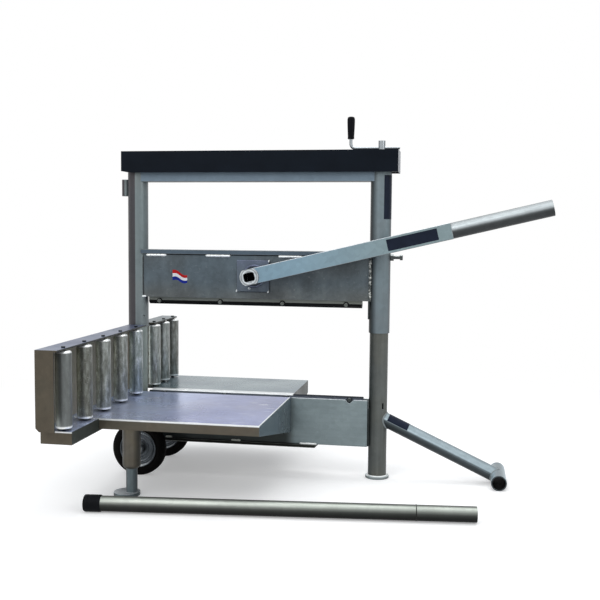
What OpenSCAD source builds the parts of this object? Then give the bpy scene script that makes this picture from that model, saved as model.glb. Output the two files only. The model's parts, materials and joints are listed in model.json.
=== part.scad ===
// Masonry block splitter: two fixed posts carry a sliding portal with an
// upper knife that an eccentric lever presses down onto the block.
// Millimetres, +Z up. The origin is the middle of the right foot, on the floor.
// X runs along the knives, the front side is at -Y.

/* [Posts and sleeves] */

// Outside diameter of the posts
post_d = 54; // [46:0.5:56]
// Wall of the posts
post_wall = 4; // [2:0.5:6]
// Height of the tops of the posts
post_top = 690; // [640:1:700]
// Wall of the sleeves that slide on the posts
sleeve_wall = 2.9; // [2.4:0.1:4]
// Gap between sliding faces
slide_gap = 0.3; // [0.2:0.05:0.6]
// Radial gap of a shaft in its bore
run_gap = 0.05; // [0.02:0.01:0.1]
// Height of the lower ends of the sleeves
sleeve_low = 430; // [425:1:460]
// Height of the upper ends of the sleeves
sleeve_top = 898; // [890:1:960]
// Diameter of the round foot under the right post
foot_d = 70; // [60:1:120]
// Thickness of the round foot
foot_t = 8; // [5:0.5:15]
// Height of the middle of the drain slot in the right post
slot_z = 216; // [200:1:260]
// Height of the drain slot
slot_h = 18; // [8:1:30]
// Width of the drain slot
slot_w = 5; // [3:0.5:10]

/* [Lower beam] */

// Thickness of a beam over both of its plates
beam_t = 40; // [36:1:46]
// Thickness of each beam plate
plate_t = 8; // [5:0.5:10]
// Height of the lower edge of the lower beam
lower_low = 93; // [88:1:110]
// Height of the upper edge of the lower beam
lower_top = 230; // [224:1:232]
// Distance from a post axis to the end of a lower plate
plate_inset = 29; // [27:1:40]
// Thickness of the strip under the lower beam
sole_t = 10; // [6:0.5:14]
// How far a strip stands out in front of its plates
strip_over = 6; // [2:0.5:8]
// Distance from the left post axis to the strip under the lower beam
sole_left = 84; // [80:1:140]
// Distance from the right post axis to the strip under the lower beam
sole_right = 174; // [120:1:240]

/* [Knives] */

// Length of both knives
knife_len = 650; // [450:1:900]
// How much further apart than the knife is long the post axes stand
knife_room = 88; // [86:1:120]
// Height of a knife
knife_h = 32; // [26:0.5:40]
// Height of the bevel of a knife
bevel_h = 7; // [4:0.5:12]
// Width of the edge of a knife
edge_w = 6; // [2:0.5:10]
// Height of the edge of the lower knife
lower_edge = 238; // [236:0.5:244]
// Height of the edge of the upper knife
upper_edge = 500; // [496:0.5:504]
// Distance from the left post axis to the lower knife
lower_knife_left = 45; // [40:1:50]
// Number of bolts that hold each knife
bolt_n = 4; // [2:1:6]
// Distance from the end of a knife to its first bolt
bolt_end = 40; // [25:1:60]
// How far the upper bolts sit left of the middle of their knife
bolt_shift = 6; // [0:1:12]
// Diameter of the shank of a knife bolt
bolt_d = 7; // [5:0.5:9]
// Diameter over the corners of the head of a knife bolt
bolt_head_d = 12; // [10:0.5:13]
// Height of the head of a knife bolt
bolt_head_h = 7; // [4:0.5:9]
// Depth of a knife bolt in its knife
bolt_reach = 14; // [8:1:20]

/* [Upper beam] */

// Height of the lower edge of the upper beam
upper_low = 522; // [518:1:526]
// Height of the upper edge of the upper beam
upper_top = 652; // [648:1:680]
// Thickness of the strip on top of the upper beam
cap_t = 13; // [8:0.5:16]
// Thickness of the guide bars beside the knife carrier
guide_t = 7; // [5:0.5:9]
// Height of the lower end of the tail of the right guide bar
guide_low = 469; // [460:1:500]
// How far the tail of the right guide bar stands out from the sleeve
tail_t = 2.5; // [1.5:0.5:6]
// Height of the knife carrier
carrier_h = 108; // [96:1:110]

/* [Lever] */

// Angle of the lever above the level, in degrees
lever_angle = 13.5; // [5:0.5:20]
// Height of the axis of the lever
hub_z = 590; // [585:1:596]
// Diameter of the hub of the lever
hub_d = 56; // [50:1:64]
// Length of the hub
hub_len = 50; // [46:1:60]
// Width of the socket in the hub
socket_w = 32; // [20:1:36]
// Height of the socket in the hub
socket_h = 25; // [16:1:30]
// Radius of the corners of the socket in the hub
socket_r = 6; // [2:0.5:7]
// Depth of the socket in the hub
socket_deep = 40; // [20:1:44]
// Diameter of the journals of the eccentric shaft
journal_d = 36; // [30:1:40]
// Diameter of the eccentric lobe
lobe_d = 38; // [34:1:42]
// Offset of the lobe from the axis of the lever
throw = 12; // [6:0.5:14]
// Gap around the lobe in its window
lobe_gap = 0.6; // [0.4:0.1:1.2]
// Width of the bearing plates
bearing_w = 98; // [84:1:110]
// Height of the bearing plates
bearing_h = 92; // [84:1:110]
// Thickness of the bearing plates
bearing_t = 10; // [6:0.5:14]
// How far the middle of the bearing plates lies left of the lever's axis
bearing_left = 4; // [0:0.5:8]
// Distance between the front bearing plate and the hub
hub_off = 14; // [12:1:40]
// Side of the square lever tube
lever_sq = 46; // [40:1:48]
// Wall of the lever tube
lever_wall = 4; // [2:0.5:6]
// Distance from the hub axis to the end of the lever tube
lever_len = 591; // [450:1:700]
// Outside diameter of the handle tube
handle_d = 45; // [42:0.5:46]
// Length of the handle tube
handle_len = 279; // [200:1:400]

/* [Head and crank] */

// How far the cover reaches past the left post axis
cover_left = 37; // [34:1:60]
// How far the cover reaches past the right post axis
cover_right = 51; // [45:1:80]
// Width of the cover, front to back
cover_w = 90; // [88:1:96]
// Height of the cover above the sleeves
cover_h = 59; // [54:1:80]
// Wall of the cover
cover_wall = 2; // [1:0.5:3]
// How far the sides of the cover hang below the sleeve tops
cover_drop = 4; // [0:0.5:8]
// Thickness of the head plate on top of the sleeves
head_t = 6; // [4:0.5:10]
// Height of the crossbeam under the head plate
cross_h = 30; // [20:1:40]
// Depth of the crossbeam, front to back
cross_w = 50; // [40:1:54]
// Wall of the crossbeam
cross_wall = 3; // [2:0.5:5]
// Diameter of the spindles
spindle_d = 20; // [16:0.5:24]
// Height of the lower ends of the spindles
spindle_low = 450; // [420:1:520]
// Height of the spindle nuts
nut_h = 30; // [20:1:50]
// Radius of the chain sprockets
sprocket_r = 24; // [22:0.5:25]
// Thickness of the chain sprockets
sprocket_t = 8; // [5:0.5:12]
// Width of the chain in its plane
chain_w = 7; // [5:0.5:8]
// Radius of the crank, from the spindle axis to the grip axis
crank_r = 90; // [70:1:120]
// Diameter of the crank rod
crank_rod_d = 9; // [6:0.5:12]
// Length of the free end of the crank rod past the spindle axis
crank_tail = 52; // [20:1:70]
// Bend radius of the crank rod
crank_bend = 13; // [8:0.5:20]
// Diameter of the crank head
crank_head_d = 20; // [16:0.5:26]
// Height of the crank head
crank_head_h = 27; // [20:0.5:36]
// Length of the grip
grip_len = 64; // [50:1:100]
// Largest diameter of the grip
grip_d = 22; // [18:0.5:30]
// Height of the lower end of the grip above the crank rod
grip_rise = 26; // [18:1:40]

/* [Tables] */

// Height of the tables
table_z = 235; // [232:0.5:237]
// Thickness of the table sheets
sheet_t = 4; // [2:0.5:6]
// Distance from the left post axis to the front table
table_left = 57; // [54:1:80]
// Distance from the right post axis to the tables
table_right = 256; // [200:1:260]
// Distance from the knife plane to the front edge of the front table
front_depth = 447; // [360:1:520]
// Distance from the knife plane to the back edge of the front table
front_back = 40; // [34:1:60]
// Height of the skirt of the front table
skirt_h = 23; // [15:1:40]
// Depth of the right gussets of the tables where they meet the lower beam
gusset_h = 108; // [80:1:120]
// Depth of the left gussets of the tables where they meet the lower beam
left_gusset_h = 62; // [50:1:66]
// Distance from the knife plane to the back edge of the rear table
rear_depth = 276; // [264:1:340]
// Gap between the rear table and the lower beam
rear_gap = 2; // [1:0.5:6]
// Height of the skirt of the rear table
rear_skirt_h = 36; // [20:1:60]

/* [Roller rail] */

// Height of the rail above the floor
rail_top = 437; // [400:1:470]
// Distance from the knife plane to the front end of the front rail
rail_front = 650; // [620:1:720]
// Distance from the knife plane to the near ends of both rails
rail_near = 38; // [36:1:39]
// How far the rail web lies outside the left post axis
rail_out = 18; // [10:1:30]
// How far the top flange reaches inside the left post axis
rail_in = 38; // [34:1:44]
// Distance from the web to the skirt of the rail foot
rail_step = 11; // [6:1:14]
// Width of the end plate of the front rail
end_w = 48; // [40:1:56]
// Rise of the end plate above the floor of the front rail
end_lift = 5; // [0:0.5:10]
// How far the floor of the front rail stays behind its end plate
floor_back = 38; // [0:1:38]
// Depth of the skirt under the floor of the front rail
pan_skirt_h = 28; // [15:1:40]
// How far that skirt lies outside the web
pan_out = 6; // [4:1:12]
// Diameter of the rollers
roller_d = 40; // [30:1:42]
// Wall of the rollers
roller_wall = 2; // [1.5:0.5:4]
// How far the roller axes lie inside the left post axis
roller_in = 28; // [26:1:32]
// Diameter of the roller axles
axle_d = 10; // [8:0.5:12]
// Gap above and below a roller
roller_gap = 3; // [1:0.5:5]
// Number of rollers in the front rail
front_n = 5; // [3:1:6]
// Distance from the knife plane to the last roller of the front rail
front_last = 100; // [80:1:120]
// Distance between the rollers of the front rail
front_pitch = 123; // [60:1:128]
// Number of rollers in the rear rail
rear_n = 3; // [2:1:3]
// Distance from the knife plane to the first roller of the rear rail
rear_first = 60; // [58:1:66]
// Distance between the rollers of the rear rail
rear_pitch = 91; // [50:1:93]

/* [Wheels] */

// Diameter of the wheels
wheel_d = 160; // [130:1:162]
// Width of a wheel
wheel_w = 35; // [25:1:45]
// Distance between the outer faces of the wheels
track_w = 264; // [220:1:320]
// How far the wheel axle lies inside the left post axis
wheel_in = 44; // [40:1:56]
// Thickness of the tyres
tyre_t = 25; // [15:0.5:30]
// Diameter of the wheel axle
wheel_axle_d = 20; // [14:0.5:22]
// Diameter of a wheel hub
wheel_hub_d = 36; // [30:1:44]
// Length of the block that carries the wheel axle
block_l = 60; // [40:1:64]

/* [Leg] */

// Distance of the leg from the left post axis
leg_in = 98; // [85:1:200]
// Distance of the leg from the knife plane
leg_out = 322; // [200:1:400]
// Outside diameter of the leg tube
leg_d = 49; // [46:1:60]
// Wall of the leg tube
leg_wall = 5; // [3:0.5:6]
// Height of the lower end of the leg tube
leg_low = 77; // [70:1:100]
// Diameter of the leg rod
rod_d = 31; // [20:0.5:34]
// Height of the top of the leg rod
rod_top = 170; // [150:1:175]
// Diameter of the foot of the leg
leg_foot_d = 72; // [60:1:100]
// Thickness of the foot of the leg
leg_foot_t = 10; // [6:0.5:14]
// How far the foot of the leg sits to the left of the rod
leg_foot_off = 14; // [0:1:18]

/* [Side foot] */

// Distance from the right post axis to the cross tube of the side foot
side_x = 350; // [280:1:420]
// Outside diameter of the cross tube
side_d = 44; // [36:0.5:50]
// Wall of the cross tube and of the brace
side_wall = 3; // [2:0.5:5]
// Length of the cross tube
side_len = 154; // [120:1:300]
// Outside diameter of the brace
brace_d = 42; // [34:0.5:43]
// Height at which the axis of the brace meets the axis of the right post
brace_z = 183; // [150:1:187]

/* [Extension bar] */

// Outside diameter of the extension bar
bar_d = 40; // [34:0.5:42]
// Gap around the extension bar in the handle
bar_gap = 0.5; // [0.3:0.1:1]
// Wall of the extension bar
bar_wall = 3; // [2:0.5:5]
// Length of the extension bar with its cap
bar_len = 998; // [700:1:1100]
// Diameter of the cap of the extension bar
bar_cap_d = 44; // [43:0.5:50]
// Length of the cap
bar_cap_len = 45; // [30:1:70]
// Distance from the stop ring to the free end of the bar
bar_stop = 152; // [100:1:200]
// Place of the capped end, left of the right post axis
bar_x = 707; // [600:1:800]
// Place of the capped end, in front of the knife plane
bar_y = 484; // [470:1:560]
// Turn of the bar on the floor, in degrees
bar_turn = 6.3; // [0:0.1:7]

/* [Hidden] */

$fn = 72;
overrun = 2;
post_spacing = knife_len + knife_room;
left_x = -post_spacing;

// Posts and sleeves
sleeve_bore = post_d + 2 * slide_gap;
sleeve_d = sleeve_bore + 2 * sleeve_wall;
slot_turn = -53;
vent_d = 6;
vent_turn = -39;
vent_rise = 33;

// Beams
beam_half = beam_t / 2;
core_t = beam_t - 2 * plate_t;
core_top = lower_edge - knife_h;
notch_room = 1;
notch_w = 2 * (bolt_head_d + notch_room);
notch_deep = bolt_head_d - notch_room;
bolt_pitch = (knife_len - 2 * bolt_end) / (bolt_n - 1);
bolt_drop = 1;
bolt_rise = 2.5;
lower_bolt_z = lower_edge - bevel_h - bolt_drop;
upper_bolt_z = upper_edge + bevel_h + bolt_rise;
cap_top = upper_top + cap_t;
lower_knife_x = left_x + lower_knife_left;
guide_end = sleeve_d / 2 + guide_t;
tail_end = sleeve_d / 2 + tail_t;

// Knife carrier
carrier_t = core_t - 2 * slide_gap;
carrier_x = left_x + guide_end + slide_gap;
carrier_l = post_spacing - 2 * (guide_end + slide_gap);
carrier_z = upper_edge + knife_h;
lobe_half = lobe_d / 2;
sway_share = 0.17;
lobe_sway = throw * sway_share;

// Lever
hub_x = left_x / 2;
lever_back = beam_half + bearing_t + hub_off;
lever_mid = lever_back + hub_len / 2;
lever_proud = (hub_len - lever_sq) / 2;
keeper_over = 7;
keeper_d = journal_d + 2 * keeper_over;
keeper_t = 8;
handle_bore = bar_d + 2 * bar_gap;
plate_hole_room = 1;
plate_hole_d = lobe_d + 2 * (throw + plate_hole_room);

// Head
cover_top = sleeve_top + cover_h;
cover_slant = 27;
head_play = 0.5;
head_inset = cover_wall + head_play;
stud_d = 12;
stud_neck_d = 6;
screw_head_d = 14;
screw_head_h = 4;
screw_left = 136;
screw_right = 110;
screw_spots = [left_x + screw_left, -screw_right];
collar_over = 7;
collar_d = spindle_d + 2 * collar_over;
collar_t = 6;
hub_collar_over = 8;
hub_collar_d = spindle_d + 2 * hub_collar_over;
sprocket_z = sleeve_top + head_t + slide_gap;
sprocket_lift = 14;
chain_r = sprocket_r + slide_gap;
spindle_proud = 1;
spindle_end = cover_top + spindle_proud;
left_end = sprocket_z + sprocket_lift + sprocket_t + spindle_proud;
cover_hole_room = 1;
cover_hole_d = crank_head_d + 2 * cover_hole_room;
crank_lift = 2;
crank_z = spindle_end + crank_rod_d / 2 + crank_lift;
crank_head_top = spindle_end + crank_head_h;
grip_z = crank_z + grip_rise;
grip_skin = 6;
grip_low_share = 0.42;
grip_top_share = 0.36;

// Side pieces of the portal
holder_d = 22;
holder_bore = 12;
holder_h = 50;
holder_drop = 23;
holder_low = sleeve_top - holder_drop - holder_h;
holder_sink = 1.5;
lock_drop = 2;
lock_z = upper_top - lock_drop;
lock_d = 10;
lock_nut_d = 20;
lock_nut_h = 9;
lock_head_d = 16;
lock_head_h = 8;
lock_len = 35;

// Tables and rails
table_low = table_z - sheet_t;
web_x = left_x - rail_out;
flange_x = left_x + rail_in;
foot_x = web_x + rail_step;
pan_x = web_x - pan_out;
front_x = left_x + table_left;
table_end = -table_right;
rear_start = beam_half + rear_gap;
rear_rail_end = rear_depth - sheet_t;
roller_x = left_x + roller_in;
roller_len = rail_top - sheet_t - table_z - 2 * roller_gap;
roller_cap_t = 8;
axle_proud = 3;
end_chamfer = 9;
end_low = table_z + end_lift;
floor_front = rail_front - floor_back;
slope_in = sheet_t * tan(45 / 2);
corner_cut = 14;
lip_h = 6;

// Wheels
wheel_x = left_x + wheel_in;
wheel_r = wheel_d / 2;
rim_r = wheel_r - tyre_t;
rim_wall = 4;
disc_t = 5;
hub_over = 3;
wheel_y = track_w / 2 - wheel_w / 2;
hub_half = wheel_w / 2 + hub_over;
axle_collar_t = 3;
axle_collar_over = 5;
axle_collar_d = wheel_axle_d + 2 * axle_collar_over;
axle_end = wheel_y + hub_half + slide_gap + axle_collar_t;
block_low = wheel_r - wheel_axle_d;
tyre_shoulder_share = 0.3;

// Leg and extension bar
leg_x = left_x + leg_in;
leg_rim = 7;
leg_guide_h = 20;
leg_chamfer = 5;
bar_z = bar_cap_d / 2;
bar_ring_over = 1;
bar_ring_d = bar_d + 2 * bar_ring_over;
bar_ring_t = 2;

// Brace
brace_rise = brace_z - side_d / 2;
brace_len = sqrt(side_x * side_x + brace_rise * brace_rise);
brace_tilt = atan2(side_x, -brace_rise);

steel = [0.62, 0.65, 0.66];
dull_steel = [0.5, 0.52, 0.52];
black = [0.1, 0.1, 0.12];
brass = [0.75, 0.6, 0.3];

// Shared shapes

module ring(d, bore, h) {
    difference() {
        cylinder(d = d, h = h);
        translate([0, 0, -overrun])
            cylinder(d = bore, h = h + 2 * overrun);
    }
}

// Bar of a given section from low to high along Y
module y_rod(d, low, high) {
    translate([0, low, 0])
        rotate([-90, 0, 0])
            cylinder(d = d, h = high - low);
}

// Both sleeve outlines, to shape what is welded to them
module sleeve_round() {
    for (x = [left_x, 0])
        translate([x, 0, -overrun])
            cylinder(d = sleeve_d, h = cover_top);
}

// Both post outlines, to shape what is welded to them
module post_round() {
    for (x = [left_x, 0])
        translate([x, 0, -overrun])
            cylinder(d = post_d, h = post_top);
}

// Box between two corners
module box(a, b) {
    translate(a)
        cube(b - a);
}

// Outline in the Y and Z directions, drawn from one X to another
module yz_slab(x0, x1) {
    translate([x0, 0, 0])
        rotate([90, 0, 90])
            linear_extrude(height = x1 - x0)
                children();
}

// Outline in the X and Z directions, drawn from one Y to another
module xz_slab(y0, y1) {
    translate([0, y1, 0])
        rotate([90, 0, 0])
            linear_extrude(height = y1 - y0)
                children();
}

// Posts

module post(low) {
    translate([0, 0, low])
        ring(post_d, post_d - 2 * post_wall, post_top - low);
}

module right_post() {
    color(steel)
        difference() {
            post(foot_t);
            rotate([0, 0, slot_turn])
                translate([post_d / 2 - post_wall - overrun, -slot_w / 2, slot_z - slot_h / 2])
                    cube([post_wall + 2 * overrun, slot_w, slot_h]);
        }
}

module left_post() {
    color(steel)
        translate([left_x, 0, 0])
            post(lower_low);
}

module round_foot() {
    color(dull_steel)
        cylinder(d = foot_d, h = foot_t);
}

module spindle_nuts() {
    color(brass)
        for (x = [left_x, 0])
            translate([x, 0, post_top - nut_h])
                ring(post_d - 2 * post_wall, spindle_d + 2 * slide_gap, nut_h);
}

// Lower beam

function lower_bolt_x(i) = lower_knife_x + knife_len / 2 + (i - (bolt_n - 1) / 2) * bolt_pitch;

function upper_bolt_x(i) = carrier_x + knife_len / 2 - bolt_shift + (i - (bolt_n - 1) / 2) * bolt_pitch;

module lower_plates() {
    color(steel) {
        difference() {
            box([left_x + plate_inset, -beam_half, lower_low],
                [-plate_inset, -core_t / 2, lower_top]);
            for (i = [0 : bolt_n - 1])
                translate([lower_bolt_x(i), 0, lower_top])
                    xz_slab(-beam_half - overrun, 0)
                        polygon([[-notch_w / 2, 0], [0, -notch_deep], [notch_w / 2, 0],
                                 [notch_w / 2, overrun], [-notch_w / 2, overrun]]);
        }
        box([left_x + plate_inset, core_t / 2, lower_low],
            [-plate_inset, beam_half, lower_top]);
    }
}

module lower_core() {
    color(dull_steel)
        difference() {
            box([left_x, -core_t / 2, lower_low], [0, core_t / 2, core_top]);
            post_round();
        }
}

module lower_sole() {
    color(steel)
        xz_slab(-beam_half - strip_over, beam_half + strip_over)
            polygon([[left_x + sole_left, lower_low], [-sole_right, lower_low],
                     [-sole_right - sole_t, lower_low - sole_t],
                     [left_x + sole_left, lower_low - sole_t]]);
}

// Knife section with its edge at the origin and its back at a height of knife_h
module knife_section(t) {
    polygon([[-edge_w / 2, 0], [edge_w / 2, 0], [t / 2, bevel_h], [t / 2, knife_h],
             [-t / 2, knife_h], [-t / 2, bevel_h]]);
}

module knife_bolt() {
    rotate([90, 0, 0])
        cylinder(d = bolt_head_d, h = bolt_head_h, $fn = 6);
    y_rod(bolt_d, 0, bolt_reach);
}

module lower_knife() {
    color(black)
        difference() {
            translate([0, 0, lower_edge])
                mirror([0, 0, 1])
                    yz_slab(lower_knife_x, lower_knife_x + knife_len)
                        knife_section(core_t);
            for (i = [0 : bolt_n - 1])
                translate([lower_bolt_x(i), 0, lower_bolt_z])
                    y_rod(bolt_d, -core_t, bolt_reach - core_t / 2);
        }
}

module lower_bolts() {
    color(steel)
        for (i = [0 : bolt_n - 1])
            translate([lower_bolt_x(i), -core_t / 2, lower_bolt_z])
                knife_bolt();
}

// Tables

module front_gusset(h) {
    polygon([[-front_depth, table_low], [-beam_half, table_low],
             [-beam_half, table_z - h], [-front_depth, table_low - skirt_h]]);
}

module rear_gusset(h) {
    polygon([[beam_half, table_low], [rear_depth, table_low],
             [rear_depth, table_low - rear_skirt_h], [beam_half, table_z - h]]);
}

module front_table() {
    color(steel) {
        box([front_x, -front_depth, table_low], [table_end, -front_back, table_z]);
        box([front_x, -front_depth, table_low - skirt_h],
            [table_end, -front_depth + sheet_t, table_low]);
        yz_slab(table_end - sheet_t, table_end)
            front_gusset(gusset_h);
        yz_slab(front_x, front_x + sheet_t)
            front_gusset(left_gusset_h);
    }
}

module rear_table() {
    color(steel)
        difference() {
            union() {
                box([flange_x, rear_start, table_low], [table_end, rear_depth, table_z]);
                box([foot_x, rail_near, table_low], [flange_x, rear_depth, table_z]);
                box([foot_x, rear_depth - sheet_t, table_low - rear_skirt_h],
                    [table_end, rear_depth, table_low]);
                box([flange_x, rear_start, table_low - lip_h],
                    [table_end, rear_start + sheet_t, table_low]);
                yz_slab(table_end - sheet_t, table_end)
                    rear_gusset(gusset_h);
                yz_slab(flange_x, flange_x + sheet_t)
                    rear_gusset(left_gusset_h);
            }
            axle_holes();
        }
}

// Roller rails

function roller_y(i) =
    i < front_n ? -front_last - (front_n - 1 - i) * front_pitch : rear_first + (i - front_n) * rear_pitch;

module axle_holes() {
    for (i = [0 : front_n + rear_n - 1])
        translate([roller_x, roller_y(i), table_low - overrun])
            cylinder(d = axle_d, h = rail_top - table_low + 2 * overrun);
}

module roller_axles() {
    color(dull_steel)
        for (i = [0 : front_n + rear_n - 1])
            translate([roller_x, roller_y(i), table_low])
                cylinder(d = axle_d, h = rail_top - table_low + axle_proud);
}

// Web and pan of the front rail, with a sloped corner between them
module front_rail_section() {
    polygon([[0, rail_top - table_low], [0, end_chamfer], [end_chamfer, 0], [front_x - web_x, 0],
             [front_x - web_x, sheet_t], [end_chamfer + slope_in, sheet_t],
             [sheet_t, end_chamfer + slope_in], [sheet_t, rail_top - table_low]]);
}

module front_rail() {
    color(steel)
        difference() {
            union() {
                translate([web_x, 0, table_low])
                    xz_slab(-floor_front, -rail_near)
                        front_rail_section();
                box([web_x, -rail_front, end_low + end_chamfer], [web_x + sheet_t, -floor_front, rail_top]);
                translate([web_x, 0, end_low])
                    xz_slab(-rail_front, -rail_front + sheet_t)
                        polygon([[0, rail_top - end_low], [0, end_chamfer], [end_chamfer, 0],
                                 [end_w, 0], [end_w, rail_top - end_low]]);
                box([web_x, -rail_front, rail_top - sheet_t], [flange_x, -rail_near, rail_top]);
                for (x = [pan_x, front_x - sheet_t])
                    box([x, -floor_front, table_low - pan_skirt_h], [x + sheet_t, -rail_near, table_low]);
                box([pan_x, -floor_front, table_low - sheet_t], [foot_x, -rail_near, table_low]);
                box([pan_x, -floor_front, table_low - pan_skirt_h],
                    [front_x, -floor_front + sheet_t, table_low]);
            }
            axle_holes();
        }
}

module rear_rail() {
    color(steel)
        difference() {
            union() {
                box([web_x, rail_near, table_low], [web_x + sheet_t, rear_rail_end, rail_top]);
                box([web_x, rail_near, table_low], [foot_x, rear_rail_end, table_z]);
                box([web_x, rail_near, rail_top - sheet_t], [flange_x, rear_rail_end, rail_top]);
            }
            axle_holes();
            translate([flange_x, rear_rail_end, rail_top - 2 * sheet_t])
                linear_extrude(height = 3 * sheet_t)
                    polygon([[overrun, -corner_cut], [overrun, overrun], [-corner_cut, overrun],
                             [-corner_cut, 0], [0, -corner_cut]]);
        }
}

module roller(i) {
    color(dull_steel)
        translate([roller_x, roller_y(i), table_z + roller_gap])
            difference() {
                ring(roller_d, axle_d + 2 * run_gap, roller_len);
                translate([0, 0, roller_cap_t])
                    cylinder(d = roller_d - 2 * roller_wall, h = roller_len - 2 * roller_cap_t);
            }
}

// Leg, wheels and side foot

module leg_tube() {
    color(dull_steel)
        translate([leg_x, -leg_out, leg_low])
            rotate_extrude()
                polygon([[rod_d / 2 + slide_gap, 0], [leg_d / 2 - leg_chamfer, 0],
                         [leg_d / 2, leg_rim], [leg_d / 2, table_low - leg_low],
                         [leg_d / 2 - leg_wall, table_low - leg_low],
                         [leg_d / 2 - leg_wall, leg_guide_h],
                         [rod_d / 2 + slide_gap, leg_guide_h]]);
}

module leg_rod() {
    color(steel)
        translate([leg_x, -leg_out, 0]) {
            cylinder(d = rod_d, h = rod_top);
            translate([-leg_foot_off, 0, 0])
                cylinder(d = leg_foot_d, h = leg_foot_t);
        }
}

module axle_block() {
    color(dull_steel)
        difference() {
            box([wheel_x - block_l / 2, -beam_half, block_low],
                [wheel_x + block_l / 2, beam_half, lower_low]);
            translate([wheel_x, 0, wheel_r])
                y_rod(wheel_axle_d, -beam_half - overrun, beam_half + overrun);
        }
}

module wheel_axle() {
    color(steel)
        translate([wheel_x, 0, wheel_r]) {
            y_rod(wheel_axle_d, -axle_end, axle_end);
            for (s = [-1, 1]) {
                y_collar(s * (wheel_y + hub_half + slide_gap + axle_collar_t / 2));
                y_collar(s * (wheel_y - hub_half - slide_gap - axle_collar_t / 2));
            }
        }
}

module y_collar(y) {
    y_rod(axle_collar_d, y - axle_collar_t / 2, y + axle_collar_t / 2);
}

module rim(side) {
    color(steel)
        translate([wheel_x, side * wheel_y, wheel_r])
            difference() {
                union() {
                    y_rod(wheel_hub_d, -hub_half, hub_half);
                    y_rod(2 * rim_r, -disc_t / 2, disc_t / 2);
                    difference() {
                        y_rod(2 * rim_r, -wheel_w / 2, wheel_w / 2);
                        y_rod(2 * (rim_r - rim_wall), -wheel_w, wheel_w);
                    }
                }
                y_rod(wheel_axle_d + 2 * run_gap, -wheel_w, wheel_w);
            }
}

module tyre(side) {
    color(black)
        translate([wheel_x, side * wheel_y, wheel_r])
            rotate([-90, 0, 0])
                rotate_extrude()
                    polygon([[rim_r, -wheel_w / 2], [wheel_r - tyre_t * tyre_shoulder_share, -wheel_w / 2],
                             [wheel_r, -wheel_w / 2 + tyre_t * tyre_shoulder_share],
                             [wheel_r, wheel_w / 2 - tyre_t * tyre_shoulder_share],
                             [wheel_r - tyre_t * tyre_shoulder_share, wheel_w / 2],
                             [rim_r, wheel_w / 2]]);
}

module side_foot() {
    color(steel) {
        difference() {
            translate([0, 0, brace_z])
                rotate([0, brace_tilt, 0])
                    ring(brace_d, brace_d - 2 * side_wall, brace_len);
            post_round();
            translate([side_x, 0, side_d / 2])
                y_rod(side_d, -side_len, side_len);
        }
        translate([side_x, 0, side_d / 2])
            difference() {
                y_rod(side_d, -side_len / 2, side_len / 2);
                y_rod(side_d - 2 * side_wall, -side_len, side_len);
            }
    }
}

// Extension bar, lying on the floor

module bar_place() {
    translate([-bar_x, -bar_y, bar_z])
        rotate([0, 0, bar_turn])
            rotate([0, 90, 0])
                children();
}

module extension_bar() {
    color(steel)
        bar_place()
            difference() {
                union() {
                    translate([0, 0, bar_cap_len - bar_cap_d / 2])
                        cylinder(d = bar_d, h = bar_len - bar_cap_len + bar_cap_d / 2);
                    translate([0, 0, bar_len - bar_stop])
                        cylinder(d = bar_ring_d, h = bar_ring_t);
                }
                cylinder(d = bar_d - 2 * bar_wall, h = bar_len + overrun);
            }
}

module extension_cap() {
    color(black)
        bar_place()
            difference() {
                cylinder(d = bar_cap_d, h = bar_cap_len);
                translate([0, 0, bar_cap_len - bar_cap_d / 2])
                    cylinder(d = bar_d, h = bar_cap_d);
            }
}

// Portal

module right_sleeve() {
    color(steel)
        difference() {
            translate([0, 0, sleeve_low])
                ring(sleeve_d, sleeve_bore, sleeve_top - sleeve_low);
            translate([0, 0, lock_z])
                rotate([0, 90, 0])
                    cylinder(d = lock_d, h = sleeve_d);
        }
}

module left_sleeve() {
    color(steel)
        translate([left_x, 0, 0])
            difference() {
                translate([0, 0, sleeve_low])
                    ring(sleeve_d, sleeve_bore, sleeve_top - sleeve_low);
                translate([0, 0, sleeve_low + vent_rise])
                    rotate([0, 90, vent_turn])
                        cylinder(d = vent_d, h = sleeve_d);
            }
}

module crossbeam() {
    color(steel)
        difference() {
            box([left_x, -cross_w / 2, sleeve_top - cross_h], [0, cross_w / 2, sleeve_top]);
            box([left_x - overrun, -cross_w / 2 + cross_wall, sleeve_top - cross_h + cross_wall],
                [overrun, cross_w / 2 - cross_wall, sleeve_top - cross_wall]);
            sleeve_round();
        }
}

module head_plate() {
    color(dull_steel)
        difference() {
            box([left_x - cover_left + head_inset, -cover_w / 2 + head_inset, sleeve_top],
                [cover_right - head_inset, cover_w / 2 - head_inset, sleeve_top + head_t]);
            for (x = [left_x, 0])
                translate([x, 0, sleeve_top - overrun])
                    cylinder(d = spindle_d + 2 * run_gap, h = head_t + 2 * overrun);
        }
}

module upper_plate(y0, y1) {
    difference() {
        box([left_x, y0, upper_low], [0, y1, upper_top]);
        sleeve_round();
        translate([hub_x, 0, hub_z])
            y_rod(plate_hole_d, -beam_t, beam_t);
    }
}

module upper_front_plate() {
    color(steel)
        upper_plate(-beam_half, -core_t / 2);
}

module upper_rear_plate() {
    color(steel)
        upper_plate(core_t / 2, beam_half);
}

module upper_cap() {
    color(steel)
        difference() {
            box([left_x, -beam_half - strip_over, upper_top], [0, beam_half + strip_over, cap_top]);
            sleeve_round();
        }
}

module bearing_plates() {
    color(steel)
        translate([hub_x, 0, hub_z])
            for (s = [-1, 1])
                difference() {
                    translate([-bearing_left, s * (beam_half + bearing_t / 2), 0])
                        cube([bearing_w, bearing_t, bearing_h], center = true);
                    y_rod(journal_d + 2 * run_gap, -beam_t, beam_t);
                }
}

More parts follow.
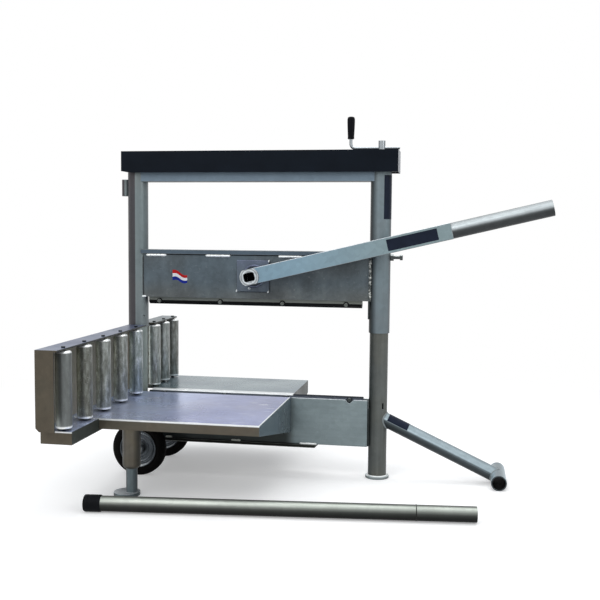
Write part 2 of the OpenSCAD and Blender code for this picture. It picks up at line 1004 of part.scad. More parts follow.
module knife_guides() {
    color(dull_steel)
        difference() {
            union() {
                box([left_x, -core_t / 2, upper_low], [left_x + guide_end, core_t / 2, upper_top]);
                box([-guide_end, -core_t / 2, upper_low], [0, core_t / 2, upper_top]);
                box([-tail_end, -core_t / 2, guide_low], [0, core_t / 2, upper_low + overrun]);
            }
            sleeve_round();
        }
}

module rod_holder() {
    color(dull_steel)
        difference() {
            translate([left_x - sleeve_d / 2 - holder_d / 2 + holder_sink, 0, holder_low])
                ring(holder_d, holder_bore, holder_h);
            sleeve_round();
        }
}

module lock_screw() {
    color(dull_steel)
        translate([0, 0, lock_z])
            rotate([0, 90, 0]) {
                translate([0, 0, sleeve_bore / 2])
                    cylinder(d = lock_d, h = sleeve_wall + lock_len);
                translate([0, 0, sleeve_d / 2])
                    cylinder(d = lock_nut_d, h = lock_nut_h, $fn = 6);
                translate([0, 0, sleeve_d / 2 + lock_len - lock_head_h])
                    cylinder(d = lock_head_d, h = lock_head_h);
            }
}

module top_cover() {
    color(black)
        difference() {
            xz_slab(-cover_w / 2, cover_w / 2)
                polygon([[left_x - cover_left, cover_top], [cover_right, cover_top],
                         [cover_right, sleeve_top - cover_drop],
                         [left_x - cover_left + cover_slant, sleeve_top - cover_drop],
                         [left_x - cover_left, sleeve_top]]);
            box([left_x - cover_left + cover_wall, -cover_w / 2 + cover_wall,
                 sleeve_top - cover_drop - overrun],
                [cover_right - cover_wall, cover_w / 2 - cover_wall, cover_top - cover_wall]);
            translate([0, 0, sleeve_top])
                cylinder(d = cover_hole_d, h = 2 * cover_h);
            for (x = screw_spots)
                translate([x, 0, sleeve_top])
                    cylinder(d = stud_neck_d, h = 2 * cover_h);
        }
}

module cover_screws() {
    color(steel)
        for (x = screw_spots)
            translate([x, 0, sleeve_top + head_t]) {
                cylinder(d = stud_d, h = cover_h - head_t - cover_wall);
                cylinder(d = stud_neck_d, h = cover_h - head_t);
                translate([0, 0, cover_h - head_t])
                    cylinder(d = screw_head_d, h = screw_head_h);
            }
}

module chain_loop(r) {
    for (x = [left_x, 0])
        translate([x, 0])
            circle(r = r);
    translate([left_x, -r])
        square([post_spacing, 2 * r]);
}

module chain() {
    color(dull_steel)
        translate([0, 0, sprocket_z + sprocket_lift])
            linear_extrude(height = sprocket_t)
                difference() {
                    chain_loop(chain_r + chain_w);
                    chain_loop(chain_r);
                }
}

// Spindles and crank

module spindle(high) {
    translate([0, 0, spindle_low])
        cylinder(d = spindle_d, h = high - spindle_low);
    translate([0, 0, sleeve_top - slide_gap - collar_t])
        cylinder(d = collar_d, h = collar_t);
}

module sprocket() {
    translate([0, 0, sprocket_z]) {
        ring(hub_collar_d, spindle_d, sprocket_lift);
        translate([0, 0, sprocket_lift])
            ring(2 * sprocket_r, spindle_d, sprocket_t);
    }
}

module right_spindle() {
    color(steel)
        spindle(spindle_end);
}

module left_spindle() {
    color(steel)
        translate([left_x, 0, 0])
            spindle(left_end);
}

module right_sprocket() {
    color(dull_steel)
        sprocket();
}

module left_sprocket() {
    color(dull_steel)
        translate([left_x, 0, 0])
            sprocket();
}

module crank_head() {
    color(dull_steel)
        difference() {
            translate([0, 0, spindle_end])
                cylinder(d = crank_head_d, h = crank_head_h);
            translate([-crank_head_d, 0, crank_z])
                rotate([0, 90, 0])
                    cylinder(d = crank_rod_d, h = 2 * crank_head_d);
        }
}

module crank_rod() {
    color(dull_steel) {
        translate([-crank_r + crank_bend, 0, crank_z])
            rotate([0, 90, 0])
                cylinder(d = crank_rod_d, h = crank_r - crank_bend + crank_tail);
        translate([-crank_r + crank_bend, 0, crank_z + crank_bend])
            rotate([90, 0, 0])
                rotate([0, 0, 180])
                    rotate_extrude(angle = 90)
                        translate([crank_bend, 0])
                            circle(d = crank_rod_d);
        translate([-crank_r, 0, crank_z + crank_bend])
            cylinder(d = crank_rod_d, h = grip_z + grip_len - grip_skin - crank_z - crank_bend);
    }
}

module crank_grip() {
    color(black)
        translate([-crank_r, 0, grip_z])
            rotate_extrude()
                polygon([[crank_rod_d / 2 + run_gap, 0], [grip_d * grip_low_share, 0],
                         [grip_d / 2, grip_len - grip_skin], [grip_d * grip_top_share, grip_len],
                         [0, grip_len], [0, grip_len - grip_skin + slide_gap],
                         [crank_rod_d / 2 + run_gap, grip_len - grip_skin + slide_gap]]);
}

// Lever and knife drive

module lever_place() {
    translate([hub_x, 0, hub_z])
        rotate([0, -lever_angle, 0])
            children();
}

// Rounded opening of the hub, from one Y to another
module hub_socket(y0, y1) {
    box([socket_r - socket_w / 2, y0, -socket_h / 2], [socket_w / 2 - socket_r, y1, socket_h / 2]);
    box([-socket_w / 2, y0, socket_r - socket_h / 2], [socket_w / 2, y1, socket_h / 2 - socket_r]);
    for (x = [-1, 1], z = [-1, 1])
        translate([x * (socket_w / 2 - socket_r), 0, z * (socket_h / 2 - socket_r)])
            y_rod(2 * socket_r, y0, y1);
}

module eccentric() {
    color(steel) {
        lever_place()
            difference() {
                intersection() {
                    y_rod(hub_d, -lever_back - hub_len, -lever_back);
                    box([-hub_d, -lever_back - hub_len, -lever_sq / 2], [hub_d, -lever_back, lever_sq / 2]);
                }
                hub_socket(-lever_back - hub_len - overrun, -lever_back - hub_len + socket_deep);
            }
        translate([hub_x, 0, hub_z]) {
            y_rod(journal_d, -lever_back, -carrier_t / 2);
            y_rod(journal_d, carrier_t / 2, beam_half + bearing_t + slide_gap + keeper_t);
            y_rod(keeper_d, beam_half + bearing_t + slide_gap, beam_half + bearing_t + slide_gap + keeper_t);
            translate([throw, 0, 0])
                y_rod(lobe_d, -carrier_t / 2, carrier_t / 2);
        }
    }
}

module lever_tube() {
    color(steel)
        lever_place()
            difference() {
                box([0, -lever_mid - lever_sq / 2, -lever_sq / 2],
                    [lever_len, -lever_mid + lever_sq / 2, lever_sq / 2]);
                box([0, -lever_mid - lever_sq / 2 + lever_wall, -lever_sq / 2 + lever_wall],
                    [lever_len - lever_wall, -lever_mid + lever_sq / 2 - lever_wall,
                     lever_sq / 2 - lever_wall]);
                y_rod(hub_d, -lever_back - hub_len - overrun, -lever_back + overrun);
            }
}

module lever_handle() {
    color(steel)
        lever_place()
            translate([lever_len, -lever_mid, 0])
                rotate([0, 90, 0])
                    ring(handle_d, handle_bore, handle_len);
}

module knife_carrier() {
    color(dull_steel)
        difference() {
            box([carrier_x, -carrier_t / 2, carrier_z],
                [carrier_x + carrier_l, carrier_t / 2, carrier_z + carrier_h]);
            translate([hub_x, 0, hub_z])
                box([throw - lobe_half - lobe_sway - lobe_gap, -carrier_t, -lobe_half - lobe_gap],
                    [throw + lobe_half + lobe_gap, carrier_t, lobe_half + lobe_gap]);
        }
}

module upper_knife() {
    color(black)
        difference() {
            translate([0, 0, upper_edge])
                yz_slab(carrier_x, carrier_x + knife_len)
                    knife_section(carrier_t);
            for (i = [0 : bolt_n - 1])
                translate([upper_bolt_x(i), 0, upper_bolt_z])
                    y_rod(bolt_d, -carrier_t, bolt_reach - carrier_t / 2);
        }
}

module upper_bolts() {
    color(steel)
        for (i = [0 : bolt_n - 1])
            translate([upper_bolt_x(i), -carrier_t / 2, upper_bolt_z])
                knife_bolt();
}

right_post();
left_post();
round_foot();
lower_plates();
lower_core();
lower_sole();
lower_knife();
lower_bolts();
front_table();
rear_table();
front_rail();
rear_rail();
roller_axles();
leg_tube();
side_foot();
axle_block();
wheel_axle();
spindle_nuts();
right_sleeve();
left_sleeve();
crossbeam();
head_plate();
upper_front_plate();
upper_rear_plate();
upper_cap();
bearing_plates();
knife_guides();
rod_holder();
lock_screw();
top_cover();
cover_screws();
chain();
right_spindle();
right_sprocket();
crank_head();
crank_rod();
crank_grip();
left_spindle();
left_sprocket();
eccentric();
lever_tube();
lever_handle();
knife_carrier();
upper_knife();
upper_bolts();
leg_rod();
extension_bar();
extension_cap();
rim(-1);  // front_rim
tyre(-1);  // front_tyre
rim(1);  // rear_rim
tyre(1);  // rear_tyre
roller(0);  // roller_1
roller(1);  // roller_2
roller(2);  // roller_3
roller(3);  // roller_4
roller(4);  // roller_5
roller(5);  // roller_6
roller(6);  // roller_7
roller(7);  // roller_8
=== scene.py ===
import bpy
import bmesh
import json
import math
from mathutils import Matrix, Vector

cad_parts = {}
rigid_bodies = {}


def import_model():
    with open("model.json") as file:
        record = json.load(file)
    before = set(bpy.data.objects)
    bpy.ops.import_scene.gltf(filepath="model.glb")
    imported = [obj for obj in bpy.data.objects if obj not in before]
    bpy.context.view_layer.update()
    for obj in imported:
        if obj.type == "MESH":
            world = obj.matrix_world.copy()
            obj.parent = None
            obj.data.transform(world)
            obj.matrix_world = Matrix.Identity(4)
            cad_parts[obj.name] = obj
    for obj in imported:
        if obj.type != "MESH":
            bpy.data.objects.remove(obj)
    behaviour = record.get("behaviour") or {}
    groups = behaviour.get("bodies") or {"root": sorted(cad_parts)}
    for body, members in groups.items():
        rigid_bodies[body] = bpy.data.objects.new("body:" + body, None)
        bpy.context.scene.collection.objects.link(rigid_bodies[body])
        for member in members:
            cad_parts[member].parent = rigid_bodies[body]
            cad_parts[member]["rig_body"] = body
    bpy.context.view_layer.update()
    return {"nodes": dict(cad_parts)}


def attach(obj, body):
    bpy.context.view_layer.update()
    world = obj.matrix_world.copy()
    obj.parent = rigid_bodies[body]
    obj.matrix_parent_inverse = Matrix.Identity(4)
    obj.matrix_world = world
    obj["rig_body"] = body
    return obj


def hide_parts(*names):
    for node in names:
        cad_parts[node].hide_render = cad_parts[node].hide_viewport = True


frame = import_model()
nodes = frame["nodes"]
scene = bpy.context.scene
scene.view_settings.view_transform = "Standard"
mm = 0.001
print("frame loaded,", len(nodes), "nodes")


# camera, measured from the picture
viewSet = {"lens": 54, "place": (0.236, -2.618, 0.719), "turn": 0.1783, "dip": 0.0746, "roll": 0.0089,
           "sensor": 36}
camData = bpy.data.cameras.new("viewCam")
camData.lens = viewSet["lens"]
camData.sensor_width = viewSet["sensor"]
camObj = bpy.data.objects.new("viewCam", camData)
scene.collection.objects.link(camObj)
camObj.matrix_world = (
    Matrix.Translation(viewSet["place"])
    @ Matrix.Rotation(viewSet["turn"], 4, "Z")
    @ Matrix.Rotation(math.pi / 2 - viewSet["dip"], 4, "X")
    @ Matrix.Rotation(viewSet["roll"], 4, "Z")
)
scene.camera = camObj
print("camera set")


# small helpers for node trees
def tint(r, g, b):  # a screen colour as linear light
    def line(v):
        v = v / 255
        return v / 12.92 if v <= 0.04045 else ((v + 0.055) / 1.055) ** 2.4
    return (line(r), line(g), line(b), 1.0)


def newSkin(name):
    skin = bpy.data.materials.new(name)
    skin.use_nodes = True
    return skin, skin.node_tree, skin.node_tree.nodes["Principled BSDF"]


def step(tree, kind, plugs=None, **sets):
    node = tree.nodes.new(kind)
    for key, value in sets.items():
        setattr(node, key, value)
    for key, value in (plugs or {}).items():
        if isinstance(value, bpy.types.NodeSocket):
            tree.links.new(value, node.inputs[key])
        else:
            node.inputs[key].default_value = value
    return node


def calc(tree, what, a, b=0.5):
    return step(tree, "ShaderNodeMath", {0: a, 1: b}, operation=what).outputs[0]


def span(tree, value, low, high, toLow, toHigh, smooth=False):
    return step(tree, "ShaderNodeMapRange", {"Value": value, "From Min": low, "From Max": high,
                "To Min": toLow, "To Max": toHigh},
                interpolation_type="SMOOTHSTEP" if smooth else "LINEAR").outputs[0]


noiseRange = (0.3, 0.7)


def sway(tree, value, low, high):  # a noise value, spread over its usual range
    return span(tree, value, *noiseRange, low, high)


def mixTone(tree, amount, a, b, mode="MIX"):
    return step(tree, "ShaderNodeMix", {0: amount, 6: a, 7: b}, data_type="RGBA", blend_type=mode).outputs[2]


def dim(tree, tone, amount):
    tone = tone[:3] if isinstance(tone, tuple) else tone
    return step(tree, "ShaderNodeVectorMath", {0: tone, "Scale": amount}, operation="SCALE").outputs[0]


def noise(tree, at, scale, detail=3.0, rough=0.55):
    return step(tree, "ShaderNodeTexNoise", {"Vector": at, "Scale": scale, "Detail": detail,
                "Roughness": rough}).outputs["Fac"]


def ramp(tree, value, stops):
    node = step(tree, "ShaderNodeValToRGB", {0: value})
    band = node.color_ramp.elements
    while len(band) < len(stops):
        band.new(0.5)
    for item, (stop, tone) in zip(band, stops):
        item.position = stop
        item.color = tone
    return node


def stretch(tree, at, scale):
    return step(tree, "ShaderNodeMapping", {"Vector": at, "Scale": scale}).outputs[0]


def raised(tree, height, strength, deep):
    return step(tree, "ShaderNodeBump", {"Height": height, "Strength": strength, "Distance": deep}).outputs[0]


def objectAt(tree):
    return step(tree, "ShaderNodeTexCoord").outputs["Object"]


def coords(tree):  # object coordinates, whole and by axis, and the normal by axis
    here = step(tree, "ShaderNodeTexCoord")
    at = here.outputs["Object"]
    spot = step(tree, "ShaderNodeSeparateXYZ", {0: at}).outputs
    facing = step(tree, "ShaderNodeSeparateXYZ", {0: here.outputs["Normal"]}).outputs
    return at, spot, facing


def apart(tree, spot, first, a, second, b):  # distance from a line, given by two axes and its place on them
    flat = step(tree, "ShaderNodeCombineXYZ", {0: calc(tree, "SUBTRACT", spot[first], a * mm),
                1: calc(tree, "SUBTRACT", spot[second], b * mm), 2: 0.0}).outputs[0]
    return step(tree, "ShaderNodeVectorMath", {0: flat}, operation="LENGTH").outputs["Value"]


def feed(tree, shader, tone, rough, normal, metal=0.0, gloss=0.5):
    for key, value in (("Base Color", tone), ("Roughness", rough), ("Normal", normal)):
        tree.links.new(value, shader.inputs[key])
    shader.inputs["Metallic"].default_value = metal
    shader.inputs["Specular IOR Level"].default_value = gloss


# hot-dip zinc: painted shade and reflection by the way a face looks (sides darker, a sky tone above, a ground
# tone below), cloudy patches, spangle, small specks
zincBase = {"left": (62, 68, 72), "front": (96, 106, 112), "right": (90, 97, 100), "sky": (158, 168, 192),
            "ground": (48, 48, 42), "turn": (0.04, 0.25, 0.70, 0.97), "tip": (-0.85, -0.25, 0.3, 0.9),
            "rise": None, "patch": 0.10, "patchSize": 9.0, "spangle": 0.05, "spangleSize": 75.0,
            "speck": 0.12, "streak": 0.0, "grain": (1.0, 1.0, 1.0), "fade": (), "drift": None, "brim": (),
            "rings": None, "scuff": None, "metal": 0.45, "rough": 0.42, "gloss": 0.4, "bump": 0.12}
zincFine = {"driftSpan": (0.42, 0.62), "scuffSpan": (0.66, 0.74), "scuffTone": (236, 240, 242),
            "edgeHighlightTone": (244, 247, 248), "edgeHighlightFull": 0.6, "edgeHighlightMost": 0.9, "dustSize": 420.0,
            "dustSpan": (0.62, 0.80), "roughSway": 0.07, "flakeRise": 0.4, "deep": 0.0004}


def zincSkin(name, **changes):
    look = dict(zincBase, **zincFine, **changes)
    skin, tree, shader = newSkin(name)
    at, spot, facing = coords(tree)
    if look["rise"]:  # lying tubes: painted highlight and shade by height round the tube
        tone = ramp(tree, span(tree, facing["Z"], -1.0, 1.0, 0.0, 1.0),
                    [((up + 1) / 2, tint(*hue)) for up, hue in look["rise"]]).outputs["Color"]
    else:
        # painted shade by how far a face turns left or right, then painted reflection of the ground below and
        # of the sky above
        hues = [look["left"], look["front"], look["front"], look["right"]]
        tone = ramp(tree, span(tree, facing["X"], -1.0, 1.0, 0.0, 1.0),
                    [(turn, tint(*hue)) for turn, hue in zip(look["turn"], hues)]).outputs["Color"]
        low, lowEnd, highStart, high = look["tip"]
        tone = mixTone(tree, span(tree, facing["Z"], lowEnd, low, 0.0, 1.0, True), tone,
                       tint(*look["ground"]))
        tone = mixTone(tree, span(tree, facing["Z"], highStart, high, 0.0, 1.0, True), tone,
                       tint(*look["sky"]))
    for axis, begin, stop, factor in look["fade"]:  # slow change along one axis
        share = span(tree, spot[axis], begin * mm, stop * mm, 0.0, 1.0, True)
        tone = mixTone(tree, share, tone, (*factor, 1.0), "MULTIPLY")
    if look["drift"]:  # wide tinted clouds
        factor, size, amount = look["drift"]
        share = span(tree, noise(tree, at, size, 2.0), *look["driftSpan"], 0.0, amount, True)
        tone = mixTone(tree, share, tone, (*factor, 1.0), "MULTIPLY")
    if look["scuff"]:  # short bright rub marks
        grain, amount = look["scuff"]
        marks = noise(tree, stretch(tree, at, grain), 1.0, 2.0, 0.5)
        tone = mixTone(tree, span(tree, marks, *look["scuffSpan"], 0.0, amount, True), tone,
                       tint(*look["scuffTone"]))
    for first, a, second, b, reach in look["brim"]:  # painted highlight along a bent edge
        away = apart(tree, spot, first, a, second, b)
        lit = span(tree, away, reach * mm, reach * look["edgeHighlightFull"] * mm, 0.0, look["edgeHighlightMost"])
        tone = mixTone(tree, lit, tone, tint(*look["edgeHighlightTone"]))
    cloud = noise(tree, at, look["patchSize"], 4.0)
    flake = step(tree, "ShaderNodeTexVoronoi", {"Vector": at, "Scale": look["spangleSize"]})
    flakeTone = step(tree, "ShaderNodeSeparateColor", {0: flake.outputs["Color"]}).outputs[0]
    dust = noise(tree, at, look["dustSize"], 2.0)
    levels = [sway(tree, cloud, 1.0 - look["patch"], 1.0 + look["patch"]),
              span(tree, flakeTone, 0.0, 1.0, 1.0 - look["spangle"], 1.0 + look["spangle"]),
              span(tree, dust, *look["dustSpan"], 1.0, 1.0 + look["speck"])]
    if look["rings"]:  # turning marks
        x, z, pitch, amount = look["rings"]
        turns = calc(tree, "MULTIPLY", apart(tree, spot, "X", x, "Z", z), 2 * math.pi / (pitch * mm))
        levels.append(span(tree, calc(tree, "SINE", turns), -1.0, 1.0, 1.0 - amount, 1.0 + amount))
    if look["streak"]:
        lines = noise(tree, stretch(tree, at, look["grain"]), 1.0, 3.0, 0.6)
        levels.append(sway(tree, lines, 1.0 - look["streak"], 1.0 + look["streak"]))
    level = levels[0]
    for more in levels[1:]:
        level = calc(tree, "MULTIPLY", level, more)
    rough = sway(tree, cloud, look["rough"] + look["roughSway"], look["rough"] - look["roughSway"])
    height = calc(tree, "ADD", calc(tree, "MULTIPLY", flakeTone, look["flakeRise"]), dust)
    feed(tree, shader, dim(tree, tone, level), rough, raised(tree, height, look["bump"], look["deep"]),
         look["metal"], look["gloss"])
    return skin


def greys(hue, *stops):  # painted highlight and shade round a tube, in one hue: (height, brightness) pairs
    return [(up, tuple(bright * part for part in hue)) for up, bright in stops]


tubeGrain = (4.0, 60.0, 60.0)
# left, front, right, sky and ground below are painted shade and reflection by the way a face looks; rise
# gives painted highlight and shade by height
zincLooks = {
    "postZinc": dict(left=(44, 50, 50), front=(87, 91, 89), right=(74, 78, 76), turn=(0.08, 0.3, 0.84, 0.99),
        streak=0.18, grain=(70.0, 70.0, 2.5), patch=0.08, drift=((1.06, 0.98, 0.86), 5.0, 0.8)),
    "leftPost": dict(left=(70, 76, 74), front=(132, 142, 138), right=(128, 138, 134),
        turn=(0.1, 0.3, 0.85, 0.99), streak=0.12, grain=(70.0, 70.0, 2.5), patch=0.07),
    "leftSleeve": dict(left=(66, 64, 67), front=(117, 126, 127), right=(104, 111, 113),
        turn=(0.50, 0.53, 0.9, 0.99), streak=0.07, grain=(60.0, 60.0, 3.0), patch=0.07,
        drift=((0.94, 1.0, 1.02), 6.0, 0.7)),
    "rightSleeve": dict(left=(30, 36, 38), front=(119, 130, 135), right=(96, 102, 106),
        turn=(0.09, 0.40, 0.9, 0.99), streak=0.06, grain=(60.0, 60.0, 3.0), patch=0.06,
        fade=[("Z", 640, 480, (0.84, 0.84, 0.84))], drift=((0.92, 1.0, 1.02), 6.0, 0.7)),
    "plateZinc": dict(front=(83, 92, 97), sky=(150, 160, 178), patch=0.18, patchSize=16.0, spangle=0.08,
        spangleSize=110.0, speck=0.4, streak=0.10, grain=(40.0, 40.0, 9.0), scuff=((90.0, 90.0, 180.0), 0.07),
        fade=[("Z", 580, 522, (1.20, 1.08, 0.97)), ("X", -320, -60, (1.06, 1.01, 0.97))],
        drift=((0.90, 0.99, 1.06), 4.0, 0.8)),
    # painted highlight on the plate's rounded lower edge
    "plateEdge": dict(rise=greys((0.96, 1.0, 0.98), (-1.0, 70), (-0.4, 150), (0.0, 112), (0.5, 150),
            (1.0, 160)), patch=0.05),
    "bearingZinc": dict(front=(86, 96, 106), sky=(160, 166, 190), left=(30, 34, 38), right=(56, 62, 68),
        patch=0.2, patchSize=24.0, spangle=0.06, speck=0.6, fade=[("Z", 600, 636, (1.03, 1.0, 1.12))]),
    "capZinc": dict(front=(76, 90, 102), sky=(120, 130, 142), ground=(20, 22, 22), patch=0.07),
    # painted highlight on the cap's rounded edges
    "capEdge": dict(rise=greys((0.95, 1.0, 0.99), (-1.0, 60), (-0.4, 122), (0.0, 110), (0.5, 96), (1.0, 120)),
        patch=0.07),
    "beamZinc": dict(front=(111, 127, 140), sky=(150, 160, 170), ground=(10, 12, 12), patch=0.06, gloss=0.2),
    # painted highlight on the crossbeam's lower bend, with a painted shadow line along its bottom
    "beamEdge": dict(rise=greys((0.96, 1.0, 1.01), (-1.0, 14), (-0.62, 24), (-0.5, 150), (-0.2, 172),
            (0.1, 128), (1.0, 140)), patch=0.05, gloss=0.2),
    # fade: painted shadow under the front table, darker to the left of its gusset
    "lowerZinc": dict(front=(124, 137, 140), sky=(215, 222, 226), right=(60, 68, 68), patch=0.08, streak=0.06,
        speck=0.3, grain=(5.0, 40.0, 90.0), fade=[("X", -236, -274, (0.14, 0.14, 0.13))]),
    # dark tones and fade: painted shade under the front table
    "soleZinc": dict(front=(34, 36, 33), left=(24, 25, 23), right=(30, 32, 30), sky=(56, 60, 58), patch=0.10,
        gloss=0.15, fade=[("X", -228, -268, (0.5, 0.5, 0.5))]),
    # painted highlight and shade on the sole's rounded edges, by height
    "soleEdge": dict(rise=greys((0.97, 1.0, 0.97), (-1.0, 60), (-0.7, 120), (-0.3, 140), (0.3, 70),
            (1.0, 60)), patch=0.2, patchSize=30.0),
    "shadeZinc": dict(front=(52, 58, 58), left=(40, 44, 44), right=(60, 66, 64), sky=(120, 128, 134),
        patch=0.10),
    # fade: brighter towards the rail, painted light against the shade of the rollers; brim: painted
    # highlights on the front and right bends
    "tableZinc": dict(left=(84, 82, 76), front=(80, 76, 66), right=(98, 110, 116), sky=(112, 120, 160),
        ground=(30, 30, 26), patch=0.10, patchSize=5.0, spangle=0.06, spangleSize=55.0, speck=0.4, rough=0.26,
        metal=0.6, brim=[("Y", -447, "Z", 235, 4.6), ("X", -256, "Z", 235, 3.0)],
        scuff=((16.0, 120.0, 10.0), 0.7), fade=[("X", -400, -640, (2.9, 2.8, 2.0))],
        drift=((0.92, 0.98, 1.08), 4.0, 1.0)),
    # brim: painted highlight on the front bend
    "skirtZinc": dict(left=(84, 82, 76), front=(82, 78, 68), patch=0.10, patchSize=6.0,
        brim=[("Y", -447, "Z", 235, 4.6)], streak=0.08, grain=(9.0, 9.0, 60.0),
        drift=((1.06, 0.97, 0.94), 8.0, 0.8)),
    # right: painted shade on the right side; brim: painted highlight on the front bend
    "rearTableZinc": dict(left=(84, 82, 76), front=(84, 88, 86), right=(44, 47, 52), sky=(108, 124, 133),
        ground=(30, 30, 26), patch=0.07, patchSize=5.0, spangle=0.06, spangleSize=55.0, speck=0.3, rough=0.28,
        metal=0.55, brim=[("Y", 22, "Z", 235, 13.0)], drift=((0.96, 1.02, 0.98), 5.0, 0.8)),
    # right: the web's tone raised, painted light against its shade between the rollers; brim: painted
    # highlight on the pan's front bend
    "railZinc": dict(left=(96, 98, 96), front=(80, 76, 65), right=(146, 144, 131), sky=(218, 226, 238),
        ground=(28, 27, 22), turn=(0.04, 0.25, 0.95, 0.99), patch=0.14, patchSize=14.0, streak=0.10,
        grain=(30.0, 30.0, 6.0), speck=0.6, metal=0.4, brim=[("Y", -612, "Z", 235, 4.0)],
        drift=((1.08, 0.98, 0.94), 7.0, 0.8)),
    "flangeZinc": dict(sky=(84, 93, 118), patch=0.12, patchSize=7.0, spangle=0.08, rough=0.36,
        drift=((1.0, 1.05, 1.02), 3.0, 1.0)),
    "rearFlange": dict(sky=(92, 104, 110), patch=0.16, patchSize=20.0, spangle=0.1, speck=0.6, rough=0.36),
    "railShade": dict(left=(40, 44, 42), front=(44, 48, 46), right=(56, 61, 58), sky=(70, 76, 86),
        ground=(16, 17, 16), patch=0.2, speck=1.2, gloss=0.2, fade=[("Z", 300, 420, (0.3, 0.3, 0.3))]),
    "legZinc": dict(left=(54, 52, 46), front=(105, 100, 90), right=(46, 46, 42), turn=(0.1, 0.4, 0.72, 0.97),
        patch=0.06, streak=0.06, grain=(50.0, 50.0, 4.0), drift=((1.05, 1.0, 0.86), 12.0, 0.8)),
    "rodZinc": dict(left=(44, 50, 52), front=(108, 121, 125), right=(66, 75, 79),
        turn=(0.05, 0.3, 0.65, 0.95), sky=(200, 206, 210), patch=0.16, patchSize=30.0),
    "leverZinc": dict(left=(100, 112, 118), front=(126, 153, 168), right=(120, 132, 138), sky=(180, 190, 196),
        ground=(44, 48, 48), patch=0.07, spangle=0.06, fade=[("X", -300, 120, (1.08, 0.93, 0.80))],
        gloss=0.3),
    # painted highlight on the lever's upper edge, painted shade on its lower edge
    "leverEdge": dict(rise=greys((0.97, 1.0, 1.02), (-1.0, 36), (-0.75, 50), (-0.5, 168), (-0.2, 140),
            (0.25, 158), (0.5, 232), (0.8, 246), (1.0, 210)), patch=0.05, gloss=0.2),
    "hubZinc": dict(left=(90, 96, 100), front=(176, 182, 184), right=(110, 126, 142), sky=(190, 198, 212),
        ground=(60, 62, 60), patch=0.3, patchSize=70.0, speck=0.5, rings=(-369, 590, 8.5, 0.36)),
    "hubEdge": dict(left=(44, 48, 50), front=(110, 116, 118), right=(120, 132, 146), sky=(150, 156, 164),
        ground=(28, 30, 30), patch=0.3, patchSize=60.0),
    "seatZinc": dict(left=(60, 66, 80), front=(96, 104, 124), right=(150, 160, 172), sky=(120, 128, 156),
        ground=(34, 38, 44), patch=0.3, patchSize=50.0),
    # handle, bar and brace: painted highlight along the top, painted shade underneath
    "handleZinc": dict(rise=greys((0.96, 1.0, 1.015), (-1.0, 62), (-0.3, 67), (-0.12, 84), (0.0, 127),
            (0.12, 171), (0.36, 195), (0.55, 180), (0.76, 137)), patch=0.05, streak=0.05, grain=tubeGrain,
            rough=0.4, gloss=0.12),
    "barZinc": dict(rise=greys((0.97, 1.0, 0.96), (-1.0, 12), (-0.6, 25), (-0.1, 55), (0.1, 76), (0.4, 140),
            (0.72, 206), (0.82, 202), (0.91, 170), (0.98, 108)), fade=[("X", -600, 100, (0.74, 0.75, 0.75))],
            patch=0.04, streak=0.06, grain=(3.0, 70.0, 70.0), rough=0.42, gloss=0.12),
    "braceZinc": dict(rise=greys((0.91, 1.0, 1.04), (-1.0, 48), (-0.3, 66), (0.04, 86), (0.15, 122),
            (0.26, 164), (0.36, 174), (0.74, 160), (1.0, 128)), patch=0.05, streak=0.05, grain=tubeGrain,
            rough=0.4, gloss=0.12),
    "boltZinc": dict(front=(92, 96, 92), left=(60, 64, 62), right=(70, 74, 72), sky=(214, 218, 214),
        ground=(30, 32, 30), patch=0.08, spangle=0.02, rough=0.35),
    "screwZinc": dict(front=(88, 92, 92), left=(52, 56, 56), right=(80, 84, 84), sky=(190, 196, 196),
        ground=(30, 32, 32), patch=0.1, rough=0.35),
    "domeZinc": dict(front=(196, 204, 208), left=(120, 126, 130), sky=(220, 226, 230), patch=0.05,
        spangle=0.02, rough=0.3),
    "rodSteel": dict(front=(160, 166, 170), left=(92, 96, 98), right=(120, 125, 128), sky=(205, 210, 214),
        patch=0.05, spangle=0.0, rough=0.28, metal=0.7),
    "pinSteel": dict(front=(30, 33, 33), left=(22, 24, 24), right=(26, 28, 28), sky=(8, 9, 10), patch=0.1,
        spangle=0.0, metal=0.1, gloss=0.05),
    "rimZinc": dict(front=(70, 75, 80), left=(150, 156, 164), right=(52, 57, 60), sky=(240, 246, 248),
        ground=(110, 116, 120), patch=0.22, patchSize=40.0, rings=(-694, 80, 7.0, 0.28), rough=0.32,
        metal=0.6),
    "plainSteel": dict(front=(110, 114, 116), left=(70, 74, 76), right=(90, 94, 96), sky=(150, 154, 158),
        patch=0.06, spangle=0.0, rough=0.35, metal=0.7),
    "footZinc": dict(front=(128, 136, 137), left=(90, 96, 97), right=(110, 117, 118), sky=(204, 212, 214),
        patch=0.08),
    # painted shade inside bores and sockets, and under the cap
    "boreDark": dict(front=(17, 18, 18), left=(12, 13, 13), right=(14, 15, 15), sky=(26, 28, 28),
        ground=(10, 11, 11), patch=0.2, metal=0.0, rough=0.7, gloss=0.05),
    "nutBrass": dict(front=(150, 124, 66), left=(110, 88, 46), right=(130, 106, 56), sky=(180, 152, 90),
        ground=(70, 56, 28), spangle=0.0, metal=0.8, rough=0.35),
}


